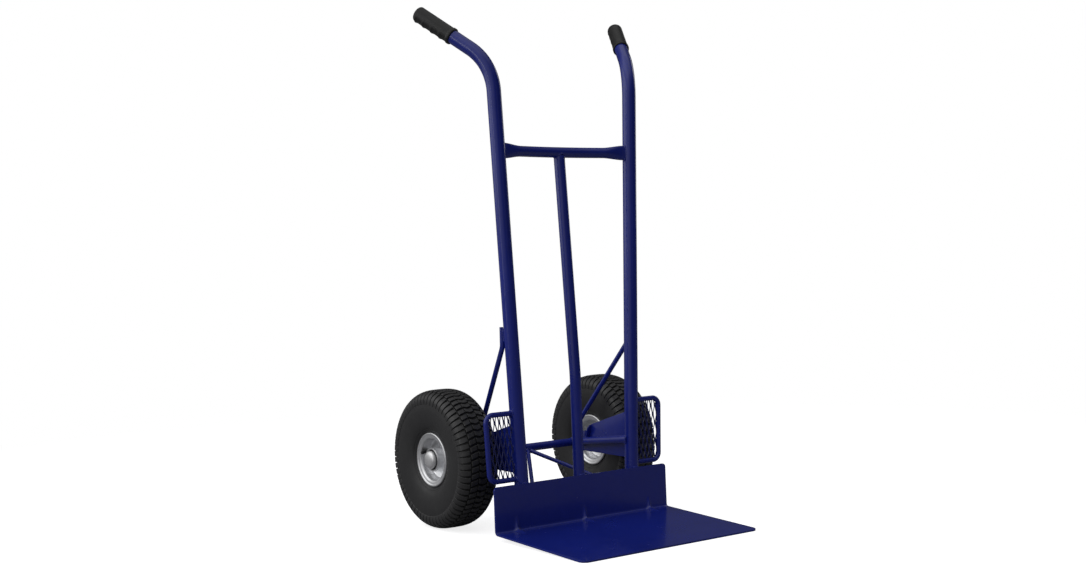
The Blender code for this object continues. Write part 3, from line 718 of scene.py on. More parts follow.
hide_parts("toe_plate")

# ------------------------------------------------------------- wheel guards
for side, s in SIDES:
    M = np.array([s, 1, 1])
    out_top = GUARD_OUT - GUARD_R
    out_bottom = out_top - UP_TAPER * (GUARD_TOP - GUARD_BOTTOM)
    pts = [(up_x(GUARD_TOP) + UP_R - 0.003, up_y(GUARD_TOP), GUARD_TOP), (out_top, up_y(GUARD_TOP), GUARD_TOP),
           (out_bottom, up_y(GUARD_BOTTOM), GUARD_BOTTOM), (up_x(GUARD_BOTTOM) + UP_R - 0.003, up_y(GUARD_BOTTOM), GUARD_BOTTOM)]
    path = dense(rounded(pts, [GUARD_CORNER] * 2, [18] * 2), 0.03)
    v, f = bar([p * M for p in path], GUARD_R, 28)
    build(side + "_guard_bar", v, f, PAINT, "frame", [side + "_guard_loop"])

    # expanded metal: slit strands pulled open, each turned a little on edge
    slope = UP_TAPER
    zt, zb = GUARD_TOP - 0.0035, GUARD_BOTTOM + 0.0035
    u0 = up_x(0) + UP_R - 0.002            # sheared: x = u + slope * z
    u1 = out_top - UP_TAPER * GUARD_TOP - 0.002
    SW, LW, W, T, BOND = 0.0130, 0.0430, 0.0029, 0.0015, 0.0050
    rad_c = GUARD_CORNER

    def inside(u, z):
        """Inside the loop's own centre line, with its two rounded outer corners."""
        if not (u0 <= u <= u1 and zb <= z <= zt):
            return False
        for zc, sg in ((zt - rad_c, 1), (zb + rad_c, -1)):
            if u > u1 - rad_c and (z - zc) * sg > 0:
                if (u - (u1 - rad_c)) ** 2 + (z - zc) ** 2 > rad_c ** 2:
                    return False
        return True

    pieces = []
    cz = (zt + zb) / 2 - 0.006
    i = 0
    u = u0 - SW

    def ribbon(lean):
        t = math.radians(38) * max(-1.0, min(1.0, lean / 0.22))
        return np.array([(a * math.cos(t) - b * math.sin(t), a * math.sin(t) + b * math.cos(t))
                         for a, b in ((-W / 2, -T / 2), (W / 2, -T / 2), (W / 2, T / 2), (-W / 2, T / 2))])

    for i in range(-1, 8):
        for hand in (-1, 1):
            # a strand that meets its neighbour at the bonds, on alternate sides
            ub = u0 + 0.0035 + i * SW
            pts = []
            for j in range(-4, 5):
                zc = cz + j * LW / 2
                x = ub + (0 if j % 2 == 0 else hand * (SW / 2 - 0.0) )
                off = hand * W * 0.42 if j % 2 == 0 else -hand * W * 0.42
                pts += [(x + off, zc - BOND / 2), (x + off, zc + BOND / 2)]
            fine = dense([np.array([a, 0, b]) for a, b in pts], 0.0012)
            # soften the kinks
            fine = np.array(fine)
            for _ in range(3):
                fine[1:-1] = (fine[:-2] + 2 * fine[1:-1] + fine[2:]) / 4
            run = []
            for p in list(fine) + [None]:
                if p is not None and inside(p[0], p[2]):
                    run.append(p)
                else:
                    if len(run) > 3:
                        path = [np.array([q[0] + slope * q[2], up_y(q[2]), q[2]]) * M for q in run]
                        lean = np.gradient([q[0] for q in run]) / np.maximum(1e-9, np.gradient([q[2] for q in run]))
                        pieces.append(sweep(path, lambda k, ln=lean: ribbon(s * ln[k]), first=[s, 0, 0]))
                    run = []
    v, f = join(pieces)
    build(side + "_expanded_metal", v, f, MESH_PAINT, "frame", [side + "_guard_mesh"], sharp=30)

# ------------------------------------------- brackets, arms, braces, struts
def plate_solid(outline, t, to_world, holes=(), bevel=0.0006):
    """A flat plate from a 2D outline with holes, with softened edges."""
    data = bpy.data.curves.new("o", "CURVE")
    data.dimensions, data.fill_mode = "2D", "BOTH"
    data.extrude, data.bevel_depth, data.bevel_resolution = t / 2 - bevel, bevel, 2
    data.offset = -bevel
    for loop in (outline, *holes):
        sp = data.splines.new("POLY")
        sp.points.add(len(loop) - 1)
        for p, (x, y) in zip(sp.points, loop):
            p.co = (x, y, 0, 1)
        sp.use_cyclic_u = True
    o = bpy.data.objects.new("o", data)
    bpy.context.scene.collection.objects.link(o)
    bpy.context.view_layer.update()
    me = bpy.data.meshes.new_from_object(o.evaluated_get(bpy.context.evaluated_depsgraph_get()))
    bpy.data.objects.remove(o, do_unlink=True)
    bm = bmesh.new()
    bm.from_mesh(me)
    bmesh.ops.remove_doubles(bm, verts=bm.verts, dist=1e-6)
    bm.verts.index_update()
    V = np.array([to_world(*v.co) for v in bm.verts])
    F = [tuple(v.index for v in fc.verts) for fc in bm.faces]
    bm.free()
    return V, F


def round2(corners, radii, n=8):
    out = []
    for i, (p, r) in enumerate(zip(corners, radii)):
        b = np.array(p, float)
        if r <= 0:
            out.append(tuple(b))
            continue
        a, c = np.array(corners[i - 1], float), np.array(corners[(i + 1) % len(corners)], float)
        pts = rounded([np.append(a, 0), np.append(b, 0), np.append(c, 0)], [r], [n])[1:-1]
        out += [(q[0], q[1]) for q in pts]
    return out


axle_a = np.array([0, AXLE_Y, AXLE_Z])
X = np.array([1.0, 0, 0])
for side, s in SIDES:
    M = np.array([s, 1, 1])
    weld = []
    front = lambda z: up_y(z) + UP_R - 0.0008
    outline = round2([(front(0.143), 0.143), (0.258, 0.143), (0.258, 0.189), (0.196, 0.197), (0.184, 0.2135), (front(0.257), 0.257)],
                     [0, 0.010, 0.010, 0.006, 0.008, 0])
    hole = [(AXLE_Y + 0.0101 * math.cos(2 * math.pi * k / 40), AXLE_Z + 0.0101 * math.sin(2 * math.pi * k / 40)) for k in range(40)]
    v1, f1 = plate_solid(outline, 0.003, lambda a, b, c: (s * (BRACKET_X + c), a, b), [hole])
    # the plate's short rear edge is turned inwards as a stiffening lip
    v2, f2 = plate_solid([(0.1600, 0.1800), (0.1714, 0.1800), (0.1714, 0.2115), (0.1660, 0.2115), (0.1600, 0.2040)], 0.0026,
                         lambda a, b, c: (s * a, 0.1905 - 0.30 * (b - 0.19) + c, b))
    v, f = join([(v1, f1), (v2, f2)])
    build(side + "_bracket_plate", v, f, PAINT, "frame", [side + "_axle_bracket"], sharp=30)

    path = [np.array([ARM_X, up_y(ARM_Z) + 0.004, ARM_Z]) * M, np.array([ARM_X, AXLE_Y - 0.004, AXLE_Z + 0.0003]) * M]
    v, f = bar(dense(path, 0.02), ARM_R - 0.0001, 36)
    build(side + "_arm_tube", v, f, PAINT, "frame", [side + "_axle_arm"])

    off = np.array([0.0144, 0.0182, 0]) * ((UP_R + BRACE_R - 0.0004) / 0.02321)
    on_up = lambda z: np.array([up_x(z), up_y(z), z]) + off
    bp = [on_up(0.485), on_up(0.440), np.array([0.1505, 0.2228, 0.2052]), np.array([0.1500, AXLE_Y - 0.0005, AXLE_Z + 0.006])]
    path = [p * M for p in dense(rounded(bp, [0.030, 0.025], [14, 12]), 0.03)]
    v, f = sweep(path, lambda i: circle(BRACE_R * (0.72 if i == 0 else 1.0), 24))
    build(side + "_brace_rod", v, f, PAINT, "frame", [side + "_brace"])

    a, b = np.array([0.0042, AXLE_Y - 0.0118, AXLE_Z - 0.0071]), np.array([0.1420, 0.0080, 0.0702])
    v, f = bar(dense([a * M, b * M], 0.03), STRUT_R, 24)
    build(side + "_strut_rod", v, f, PAINT, "frame", [side + "_axle_strut"])

    # weld beads
    up0 = np.array([up_x(0), up_y(0), 0])
    for z in (GUARD_TOP, GUARD_BOTTOM):
        weld.append(bead([p * M for p in saddle((up_x(z) + UP_R, up_y(z), z), X, GUARD_R + 0.0006, up0, up_dir, UP_R)], 0.0021, True))
    weld.append(bead([p * M for p in saddle((half, up_y(CROSS_Z), CROSS_Z), X, 0.0053, up0, up_dir, UP_R, 48, tall=0.0186)], 0.0021, True))
    for dx in (-0.0024, 0.0024):
        pts = []
        for z in np.linspace(0.147, 0.253, 12):
            ddx = BRACKET_X + dx - up_x(z)
            pts.append(np.array([BRACKET_X + dx, up_y(z) + math.sqrt(max(UP_R ** 2 - ddx ** 2, 1e-9)) + 0.0004, z]) * M)
        weld.append(bead(pts, 0.0018))
    adir = unit(np.array([0, AXLE_Y - up_y(ARM_Z), AXLE_Z - ARM_Z]))
    weld.append(bead([p * M for p in saddle((ARM_X, up_y(ARM_Z) + UP_R, ARM_Z - 0.002), adir, ARM_R + 0.0004, up0, up_dir, UP_R)], 0.0020, True))
    weld.append(bead([p * M for p in saddle((ARM_X, AXLE_Y - AXLE_R, AXLE_Z), -adir, ARM_R - 0.0012, axle_a, X, AXLE_R + 0.0002)], 0.0017, True))
    weld.append(bead([p * M for p in saddle((0.150, AXLE_Y, AXLE_Z + AXLE_R), np.array([0, -0.25, 1]), BRACE_R + 0.0004, axle_a, X, AXLE_R)], 0.0018, True))
    for sg in (-1, 1):
        perp = unit(np.cross(off, up_dir)) * sg
        pts = [np.array([up_x(z), up_y(z), z]) + off * (UP_R / np.linalg.norm(off)) * 1.02 + perp * 0.0042 for z in np.linspace(0.450, 0.483, 6)]
        weld.append(bead([p * M for p in pts], 0.0021))
    # strut on the back of the flange
    e = unit(b - a)
    u = unit(np.cross(e, [0, 0, 1])); w2 = np.cross(u, e)
    ring = []
    for k in range(28):
        ph = 2 * math.pi * k / 28
        q = b + (STRUT_R + 0.0004) * (math.cos(ph) * u + math.sin(ph) * w2)
        t = ((PLATE_T + LEAN * q[2]) - q[1]) / (e[1] - LEAN * e[2])
        ring.append((q + t * e) * M)
    weld.append(bead(ring, 0.0017, True))
    # the foot of the upright on the back of the flange and over its top edge
    for dx in (-0.0078, 0.0078):
        pts = []
        for z in np.linspace(0.030, 0.1195, 10):
            pts.append(np.array([up_x(z) + dx, PLATE_T + LEAN * z + 0.0010, z]) * M)
        weld.append(bead(pts, 0.0021))
    pts = [np.array([up_x(FLANGE_TOP) + dx, LEAN * FLANGE_TOP + 0.0036 + 0.9 * (UP_R - math.sqrt(UP_R ** 2 - dx ** 2)), FLANGE_TOP + 0.0002]) * M for dx in np.linspace(-0.0085, 0.0085, 8)]
    weld.append(bead(pts, 0.0019))
    v, f = join(weld)
    build(side + "_frame_welds", v, f, WELD_PAINT, "frame", (), sharp=60)

# welds on the middle plane
weld = []
cdir = unit(np.array([0, cross_y - 0.0005 - knee[1], CROSS_Z - KNEE_Z]))
c0 = np.array([0, cross_y - 0.0005, CROSS_Z - CROSS_R])
ring = saddle(c0, cdir, CENTRE_R * 0.93, np.array([0, cross_y, CROSS_Z]), X, CROSS_R)
weld.append(bead(ring, 0.0022, True))
for dx in (-0.0066, 0.0066):
    weld.append(bead([np.array([dx, PLATE_T + LEAN * z + 0.0010, z]) for z in np.linspace(0.030, 0.1195, 10)], 0.0021))
weld.append(bead([np.array([dx, LEAN * FLANGE_TOP + 0.0038 + 0.9 * (CENTRE_R - math.sqrt(CENTRE_R ** 2 - dx ** 2)), FLANGE_TOP + 0.0004]) for dx in np.linspace(-0.0080, 0.0080, 8)], 0.0022))
for s in (-1, 1):
    weld.append(bead([np.array([s * 0.003 + 0.0062 * math.cos(p), AXLE_Y - AXLE_R - 0.0016, AXLE_Z - 0.0065 + 0.0055 * math.sin(p)]) for p in np.linspace(0, 2 * math.pi, 20)[:-1]], 0.0017, True))
v, f = join(weld)
build("middle_welds", v, f, WELD_PAINT, "frame", (), sharp=60)

# --------------------------------------------------------------------- axle
xs = [-0.2856, -0.2848] + list(np.linspace(-0.2844, -0.1742, 12)) + list(np.linspace(-0.1740, 0.1740, 40)) + list(np.linspace(0.1742, 0.2844, 12)) + [0.2848, 0.2856]
rr = [0.0091, 0.0099] + [AXLE_R - 0.00005] * (len(xs) - 4) + [0.0099, 0.0091]
n = 40
V, F, FM = [], [], []
for x, r in zip(xs, rr):
    for a, b in circle(r, n):
        V.append((x, AXLE_Y + a, AXLE_Z + b))
for i in range(len(xs) - 1):
    for k in range(n):
        q = (k + 1) % n
        F.append((i * n + k, i * n + q, (i + 1) * n + q, (i + 1) * n + k))
        FM.append(0 if abs((xs[i] + xs[i + 1]) / 2) < 0.1741 else 1)
F += [tuple(range(n))[::-1], tuple((len(xs) - 1) * n + k for k in range(n))]
FM += [1, 1]
build("axle_bar", V, F, None, "frame", ["axle"], mats=[PAINT, STEEL], face_mats=FM)

# ------------------------------------------------------------------- wheels
R_OUT = AXLE_Z                    # the tread just touches the floor
TREAD_H = 0.0042
half_case = [(0.0300, 0.0512), (0.0325, 0.0528), (0.0345, 0.0580), (0.0352, 0.0636), (0.0364, 0.0668), (0.0392, 0.0700), (0.0410, 0.0726), (0.0412, 0.0738),
             (0.0432, 0.0760), (0.0466, 0.0840), (0.0492, 0.0950), (0.0507, 0.1070), (0.0513, 0.1190), (0.0509, 0.1302),
             (0.0497, 0.1390), (0.0470, 0.1476), (0.0421, 0.1541), (0.0332, 0.1591), (0.0206, 0.1617), (0.0, R_OUT - TREAD_H)]
case = smooth_line(half_case, 5)
# arc length along the outer skin, from the middle of the tread
skin = case[::-1]
skin_s = np.concatenate([[0], np.cumsum(np.linalg.norm(np.diff(skin, axis=0), axis=1))])


def on_skin(w, h):
    """The (outward, radius) point at arc distance w from the tread's middle, h above the skin."""
    a = abs(w)
    s = np.interp(a, skin_s, skin[:, 0])
    r = np.interp(a, skin_s, skin[:, 1])
    s2, r2 = np.interp(a + 0.002, skin_s, skin[:, 0]), np.interp(a + 0.002, skin_s, skin[:, 1])
    s1, r1 = np.interp(max(a - 0.002, 0), skin_s, skin[:, 0]), np.interp(max(a - 0.002, 0), skin_s, skin[:, 1])
    t = np.array([s2 - s1, r2 - r1])
    t /= np.linalg.norm(t)
    nrm = np.array([-t[1], t[0]])
    if nrm[1] < 0 and nrm[0] < 0:
        nrm = -nrm
    if a < 0.003:
        nrm = np.array([0.0, 1.0])
    s, r = s + nrm[0] * h, r + nrm[1] * h
    return (s if w >= 0 else -s), r


def block(w0, w1, centre, halfw, h, nseg, end=0.0008):
    """One tread block, from w0 to w1 across the tread; centre(w) and halfw(w) are along the rolling direction, in metres at the tread's radius."""
    ws = [w0, w0 + end] + list(np.linspace(w0 + end, w1 - end, nseg + 1))[1:-1] + [w1 - end, w1]
    V, F = [], []
    for i, w in enumerate(ws):
        edge = i in (0, len(ws) - 1)
        hh = h(w) if callable(h) else h
        top = hh - (0.0007 if edge else 0.0)
        c, b = centre(w), halfw(w)
        for dy, hgt in ((-b - 0.0005, -0.0006), (-b, top - 0.0006), (-b + 0.0007, top), (b - 0.0007, top), (b, top - 0.0006), (b + 0.0005, -0.0006)):
            s, r = on_skin(w + (0 if not edge else (-0.0003 if i == 0 else 0.0003) * (1 if hgt < 0 else 0)), hgt)
            ang = (c + dy) / R_OUT
            V.append((s, r * math.cos(ang), r * math.sin(ang)))
    k = 6
    for i in range(len(ws) - 1):
        for m in range(k):
            q = (m + 1) % k
            F.append((i * k + m, i * k + q, (i + 1) * k + q, (i + 1) * k + m))
    F.append(tuple(range(k))[::-1])
    F.append(tuple((len(ws) - 1) * k + m for m in range(k)))
    return np.array(V), F


PITCHES = 64
pitch = 2 * math.pi * R_OUT / PITCHES
blocks = []
lug_in, lug_out = 0.0325, 0.0665
for sg in (-1, 1):
    shift = 0.0 if sg > 0 else pitch / 2
    fade = lambda w: TREAD_H * (1 - 0.80 * max(0.0, (abs(w) - 0.052) / (lug_out - 0.052)) ** 1.4)
    # long shoulder lugs that run out on to the sidewall
    lug = (sorted((sg * lug_in, sg * lug_out)), lambda w, sh=shift: sh + 0.0016 * math.sin((abs(w) - lug_in) / 0.012),
           lambda w: 0.0060 + 0.0013 * min(1.0, max(0.0, (abs(w) - 0.040) / 0.022)) - (0.0010 if abs(w) < lug_in + 0.005 else 0.0), fade, 9)
    # leaning blocks between the lugs and the middle
    mid_block = (sorted((sg * 0.0135, sg * 0.0300)), lambda w, sh=shift: sh + pitch / 2 + 0.30 * (abs(w) - 0.0218), lambda w: 0.0054, TREAD_H, 4)
    for (w, c, b, h, ns) in (lug, mid_block):
        blocks.append((block(w[0], w[1], c, b, h, ns)))
# chevrons down the middle
blocks.append(block(-0.0110, 0.0110, lambda w: 0.0036 * (1 - abs(w) / 0.011) + 0.25 * pitch, lambda w: 0.0052, TREAD_H, 6))
one_v, one_f = join(blocks)
tread_v, tread_f = [], []
for k in range(PITCHES):
    a = 2 * math.pi * k / PITCHES
    c, s_ = math.cos(a), math.sin(a)
    tread_v.append((np.stack([one_v[:, 0], one_v[:, 1] * c - one_v[:, 2] * s_, one_v[:, 1] * s_ + one_v[:, 2] * c], 1), one_f))
tread_v, tread_f = join(tread_v)

inner_case = [(0.0285, 0.0530), (0.0300, 0.0600), (0.0395, 0.0780), (0.0456, 0.1050), (0.0452, 0.1250), (0.0422, 0.1436), (0.0300, 0.1552), (0.0, 0.1582)]
inner = smooth_line(inner_case, 3)
case_loop = np.concatenate([case, (case[:-1] * [-1, 1])[::-1], inner * [-1, 1], (inner[:-1])[::-1]])

# the rim: rolled lip, bead seat, dished disc and the neck on the hub
rim_pts = [(0.0358, 0.0632), (0.0372, 0.0634), (0.0381, 0.0626), (0.0378, 0.0612), (0.0366, 0.0590), (0.0360, 0.0560), (0.0350, 0.0532), (0.0328, 0.0516),
           (0.0290, 0.0509), (0.0200, 0.0502), (0.0140, 0.0494), (0.0106, 0.0472), (0.0092, 0.0440), (0.0088, 0.0400), (0.0090, 0.0360), (0.0104, 0.0326),
           (0.0135, 0.0298), (0.0190, 0.0279), (0.0260, 0.0270), (0.0330, 0.0266), (0.0372, 0.0264)]
rim_line = smooth_line(rim_pts, 5)
rim_loop = thick_line(rim_line, -0.0017)


for side, s in SIDES:
    body = side + "_wheel"
    centre = np.array([s * WHEEL_X, AXLE_Y, AXLE_Z])
    c3 = tuple(centre)
    turn = lambda prof, segs, sd=s: lathe(prof, segs, side=sd, centre=c3)

    v, f = turn(case_loop, 160)
    build(side + "_tyre_casing", v, f, RUBBER, body, [side + "_tyre"], sharp=60)
    v = tread_v * np.array([s, 1, 1]) + centre
    build(side + "_tyre_tread", v, tread_f, TREAD, body, (), sharp=32)

    for which, k in (("outer", 1), ("inner", -1)):
        v, f = lathe(rim_loop, 120, side=s * k, centre=c3)
        build("%s_%s_rim_dish" % (side, which), v, f, ZINC, body, ["%s_rim_%s" % (side, which)], sharp=50)

    hub_half = [(0.0368, 0.0247), (0.0378, 0.0248), (0.0381, 0.0252), (0.0381, 0.0261), (0.0374, 0.0267), (0.0330, 0.0268), (0.0300, 0.0262)]
    hub_loop = hub_half + [(-a, b) for a, b in hub_half[::-1]] + [(-0.0362, 0.0238), (-0.0362, 0.0211), (-0.0236, 0.0211), (-0.0236, 0.0190),
                                                                    (0.0236, 0.0190), (0.0236, 0.0211), (0.0362, 0.0211), (0.0362, 0.0238)]
    v, f = turn(hub_loop, 80)
    build(side + "_hub_barrel", v, f, HUB_ZINC, body, [side + "_hub"], sharp=35)

    cap_line = [(0.0500, 0.0), (0.04995, 0.0030), (0.0497, 0.0065), (0.0491, 0.0105), (0.0481, 0.0145), (0.0466, 0.0178), (0.0447, 0.0200),
                (0.0428, 0.0210), (0.0410, 0.0213), (0.0395, 0.0212), (0.0380, 0.0208), (0.0366, 0.0204)]
    cap_in = [(0.0366, 0.0196), (0.0418, 0.0196), (0.0453, 0.0160), (0.0474, 0.0090), (0.0479, 0.0)]
    v, f = lathe_solid(list(smooth_line(cap_line, 4)) + cap_in, 72, side=s, centre=c3)
    build(side + "_hub_cap_dome", v, f, CAP, body, [side + "_hub_cap"], sharp=45)

    # painted shade: a black ring fills the gap round the cap, standing in for the shade in that gap
    v, f = turn([(0.0364, 0.0206), (0.0370, 0.0209), (0.0372, 0.0218), (0.0369, 0.0226), (0.0372, 0.0234), (0.0369, 0.0243), (0.0363, 0.0246), (0.0363, 0.0206)], 72)
    build(side + "_outer_seal", v, f, SOFT, body, (), sharp=40)

    # the bearing that shows on the inner side: rings, seal and its groove
    bz = -0.0358
    ringp = [(bz + 0.0118, 0.0207), (bz, 0.0207), (bz - 0.0003, 0.0203), (bz - 0.0003, 0.0180), (bz + 0.0007, 0.0178), (bz + 0.0007, 0.0136),
             (bz - 0.0003, 0.0134), (bz - 0.0003, 0.0106), (bz + 0.0001, 0.0102), (bz + 0.0118, 0.0102)]
    v, f = turn(ringp, 64)
    build(side + "_bearing_rings", v, f, STEEL, body, [side + "_inner_bearing"], sharp=30)
    v, f = turn([(bz + 0.0010, 0.0179), (bz - 0.0001, 0.0177), (bz - 0.0002, 0.0165), (bz + 0.0001, 0.0160), (bz - 0.0002, 0.0154), (bz - 0.0001, 0.0138), (bz + 0.0010, 0.0136)], 64)
    build(side + "_bearing_seal", v, f, SEAL, body, (), sharp=30)

    # valve: a rubber stem through the rim's barrel, bent to run outwards, and a ribbed cap
    vd = np.array([0, math.cos(VALVE), math.sin(VALVE)])
    at = lambda x, r, sd=s, d=vd: np.array([sd * (WHEEL_X + x), AXLE_Y, AXLE_Z]) + d * r
    path = dense(rounded([at(VALVE_X, 0.0562), at(VALVE_X, VALVE_R), at(0.0340, VALVE_R)], [0.0055], [12]), 0.0012)
    gone = np.concatenate([[0], np.cumsum(np.linalg.norm(np.diff(path, axis=0), axis=1))])

    def stem_r(g):
        if g < 0.0068:
            return 0.0037
        return 0.0036 - 0.0004 * min(1.0, (g - 0.0068) / 0.014) + (0.00025 * math.cos(2 * math.pi * (g - 0.018) / 0.0016) if g > 0.018 else 0.0)

    v, f = sweep(path, lambda k: circle(stem_r(gone[k]), 32))
    build(side + "_valve_rubber", v, f, SOFT, body, [side + "_valve_stem"], sharp=50)
    ribs = 40
    cap_v, cap_f = [], []
    prof = [(0.0337, 0.0030), (0.0337, 0.0037), (0.0341, 0.0040), (0.0372, 0.0040), (0.0374, 0.0036), (0.0378, 0.0036), (0.0380, 0.0040), (0.0396, 0.0039), (0.0404, 0.0034), (0.0408, 0.0024)]
    vt = np.array([0, -math.sin(VALVE), math.cos(VALVE)])
    for x, w in prof:
        for k in range(ribs):
            a = 2 * math.pi * k / ribs
            ww = w * (1 + (0.05 if k % 2 and 0.0339 < x < 0.0400 else 0))
            cap_v.append(at(x, VALVE_R) + ww * (math.cos(a) * vd + math.sin(a) * vt))
    for i in range(len(prof) - 1):
        for k in range(ribs):
            q = (k + 1) % ribs
            cap_f.append((i * ribs + k, i * ribs + q, (i + 1) * ribs + q, (i + 1) * ribs + k))
    cap_f += [tuple(range(ribs)), tuple((len(prof) - 1) * ribs + k for k in range(ribs))]
    build(side + "_valve_cap_ribbed", cap_v, cap_f, PLASTIC, body, [side + "_valve_cap"], sharp=25)

    # spacer sleeve between the bracket and the wheel
    sp = [(0.1741, 0.0104), (0.1741, 0.0128), (0.1748, 0.0135), (WHEEL_X - 0.0370, 0.0135), (WHEEL_X - 0.0363, 0.0128), (WHEEL_X - 0.0363, 0.0104)]
    v, f = lathe(sp, 56, side=s, centre=(0.0, AXLE_Y, AXLE_Z))
    build(side + "_spacer_sleeve", v, f, STEEL, "frame", [side + "_inner_spacer"], sharp=35)

# -------------------------------------------------------------------- stage
me = bpy.data.meshes.new("floor")
bm = bmesh.new()
bmesh.ops.create_circle(bm, cap_ends=True, segments=96, radius=14)
bm.to_mesh(me)
bm.free()
floor = bpy.data.objects.new("floor", me)
bpy.context.scene.collection.objects.link(floor)
fm = bpy.data.materials.new("pale_floor")
fm.use_nodes = True
nt = fm.node_tree
b = nt.nodes["Principled BSDF"]
b.inputs["Base Color"].default_value = (0.88, 0.88, 0.885, 1)
b.inputs["Roughness"].default_value = 0.85
b.inputs["Specular IOR Level"].default_value = 0.15
lp = nt.nodes.new("ShaderNodeLightPath")
em = nt.nodes.new("ShaderNodeEmission")
em.inputs["Color"].default_value = (1, 1, 1, 1)
em.inputs["Strength"].default_value = 0.80
far = nt.nodes.new("ShaderNodeEmission")
far.inputs["Color"].default_value = (1, 1, 1, 1)
far.inputs["Strength"].default_value = 1.0
dark = nt.nodes.new("ShaderNodeBsdfDiffuse")
dark.inputs["Color"].default_value = (0.30, 0.30, 0.31, 1)
ad = nt.nodes.new("ShaderNodeAddShader")
fade = nt.nodes.new("ShaderNodeMixShader")
mx = nt.nodes.new("ShaderNodeMixShader")
tcf = nt.nodes.new("ShaderNodeTexCoord")
ln = nt.nodes.new("ShaderNodeVectorMath")
ln.operation = "LENGTH"
mr = nt.nodes.new("ShaderNodeMapRange")
mr.inputs["From Min"].default_value, mr.inputs["From Max"].default_value = 0.9, 2.6
nt.links.new(tcf.outputs["Object"], ln.inputs[0])
nt.links.new(ln.outputs["Value"], mr.inputs["Value"])
nt.links.new(b.outputs[0], ad.inputs[0])
nt.links.new(em.outputs[0], ad.inputs[1])
nt.links.new(mr.outputs["Result"], fade.inputs[0])
nt.links.new(ad.outputs[0], fade.inputs[1])
nt.links.new(far.outputs[0], fade.inputs[2])
nt.links.new(lp.outputs["Is Camera Ray"], mx.inputs[0])
nt.links.new(dark.outputs[0], mx.inputs[1])
nt.links.new(fade.outputs[0], mx.inputs[2])
nt.links.new(mx.outputs[0], nt.nodes["Material Output"].inputs["Surface"])
me.materials.append(fm)

# ------------------------------------------------------------------- lights
world = bpy.data.worlds.new("studio")
bpy.context.scene.world = world
world.use_nodes = True
wt = world.node_tree
bg = wt.nodes["Background"]
bg.inputs["Color"].default_value = (1, 1, 1, 1)
bg.inputs["Strength"].default_value = 1.0
dim = wt.nodes.new("ShaderNodeBackground")
dim.inputs["Color"].default_value = (1.0, 1.0, 1.01, 1)
tc = wt.nodes.new("ShaderNodeTexCoord")


def lobe(direction, lo, hi, gain):
    """A soft-edged bright patch of sky round one direction."""
    d = wt.nodes.new("ShaderNodeVectorMath")
    d.operation = "DOT_PRODUCT"
    d.inputs[1].default_value = tuple(unit(direction))
    wt.links.new(tc.outputs["Generated"], d.inputs[0])
    r = wt.nodes.new("ShaderNodeMapRange")
    r.interpolation_type = "SMOOTHSTEP"
    r.inputs["From Min"].default_value, r.inputs["From Max"].default_value = lo, hi
    r.inputs["To Min"].default_value, r.inputs["To Max"].default_value = 0.0, gain
    wt.links.new(d.outputs["Value"], r.inputs["Value"])
    return r.outputs["Result"]


def plus(a, b):
    m = wt.nodes.new("ShaderNodeMath")
    m.operation = "ADD"
    wt.links.new(a, m.inputs[0])
    if isinstance(b, float):
        m.inputs[1].default_value = b
    else:
        wt.links.new(b, m.inputs[1])
    return m.outputs["Value"]


glow = plus(lobe((-1.0, 0.05, 0.30), 0.15, 0.90, 0.44), lobe((-0.1, -0.1, 1.0), 0.40, 0.98, 0.30))
glow = plus(plus(glow, lobe((0.60, 0.80, 0.10), 0.55, 0.95, 0.03)), 0.030)
wt.links.new(glow, dim.inputs["Strength"])
lpw = wt.nodes.new("ShaderNodeLightPath")
mw = wt.nodes.new("ShaderNodeMixShader")
wt.links.new(lpw.outputs["Is Camera Ray"], mw.inputs[0])
wt.links.new(dim.outputs[0], mw.inputs[1])
wt.links.new(bg.outputs[0], mw.inputs[2])
wt.links.new(mw.outputs[0], wt.nodes["World Output"].inputs["Surface"])

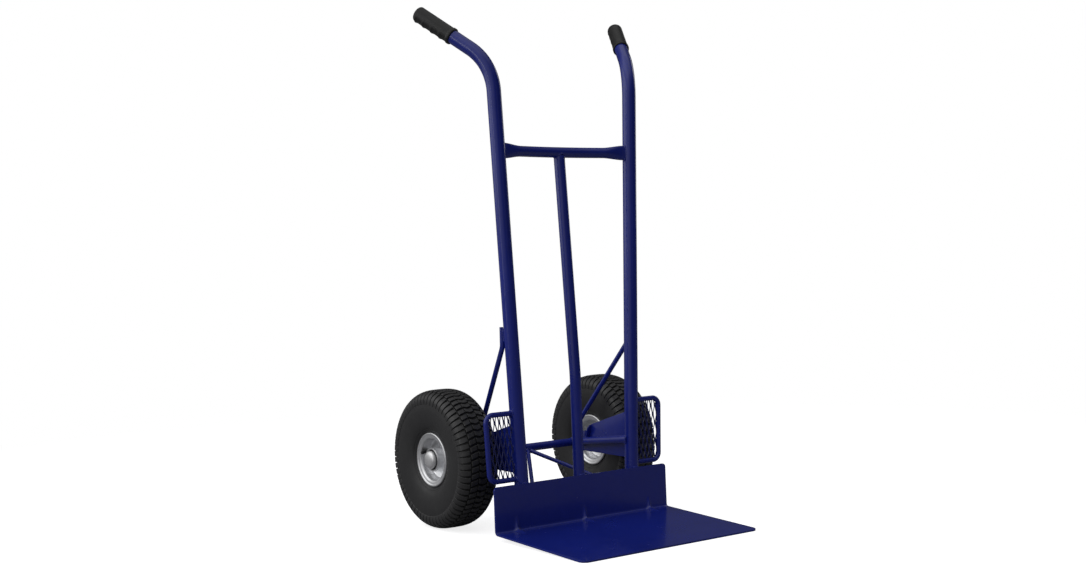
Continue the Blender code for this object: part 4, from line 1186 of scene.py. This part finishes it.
yaw, pitch_, roll = 0.6406, 0.0279, -0.0255
look = np.array([math.sin(yaw) * math.cos(pitch_), math.cos(yaw) * math.cos(pitch_), -math.sin(pitch_)])
r_ = np.array([math.cos(yaw), -math.sin(yaw), 0])
u_ = np.cross(r_, look)
right = math.cos(roll) * r_ + math.sin(roll) * u_
upv = -math.sin(roll) * r_ + math.cos(roll) * u_
eye = np.array([-2.1612, -2.7542 + Y0, 0.6760])


def area(name, at, to, size, size_y, power, colour=(1, 1, 1)):
    d = bpy.data.lights.new(name, "AREA")
    d.shape, d.size, d.size_y, d.energy, d.color = "RECTANGLE", size, size_y, power, colour
    o = bpy.data.objects.new(name, d)
    at, to = Vector(at), Vector(to)
    o.matrix_world = Matrix.Translation(at) @ (at - to).to_track_quat("Z", "Y").to_matrix().to_4x4()
    bpy.context.scene.collection.objects.link(o)
    return o


hub = np.array([0, 0, 0.6])
left_, back_ = -r_, np.array([math.sin(yaw), math.cos(yaw), 0])
area("key", hub + left_ * 2.4 - back_ * 0.1 + [0, 0, 1.1], hub + [0, 0, -0.1], 2.2, 2.2, 10)
area("strip", hub + left_ * 1.9 - back_ * 1.5 + [0, 0, 0.7], hub + [0, 0, -0.05], 0.28, 2.4, 3.2)
area("edge", hub + left_ * 2.3 + back_ * 1.7 + [0, 0, 0.7], hub, 1.2, 2.4, 2)
area("top", hub + [0, 0, 2.6], hub, 3.0, 3.0, 7)
area("fill", hub - left_ * 2.2 - back_ * 2.6 + [0, 0, 0.9], hub, 1.8, 1.8, 0.6)
area("back_fill", hub - left_ * 2.4 + back_ * 2.4 + [0, 0, 1.2], hub, 1.6, 2.2, 11)

# ------------------------------------------------------------------- camera
cam = bpy.data.cameras.new("camera")
cam.sensor_fit = "HORIZONTAL"
cam.sensor_width = 36
cam.lens = 1474.7 / 1086 * 36
cam.clip_start, cam.clip_end = 0.05, 60
co = bpy.data.objects.new("camera", cam)
m = Matrix.Identity(4)
for i in range(3):
    m[i][0], m[i][1], m[i][2], m[i][3] = right[i], upv[i], -look[i], eye[i]
co.matrix_world = m
bpy.context.scene.collection.objects.link(co)
bpy.context.scene.camera = co
bpy.context.scene.view_settings.view_transform = "Standard"
bpy.context.scene.view_settings.look = "None"
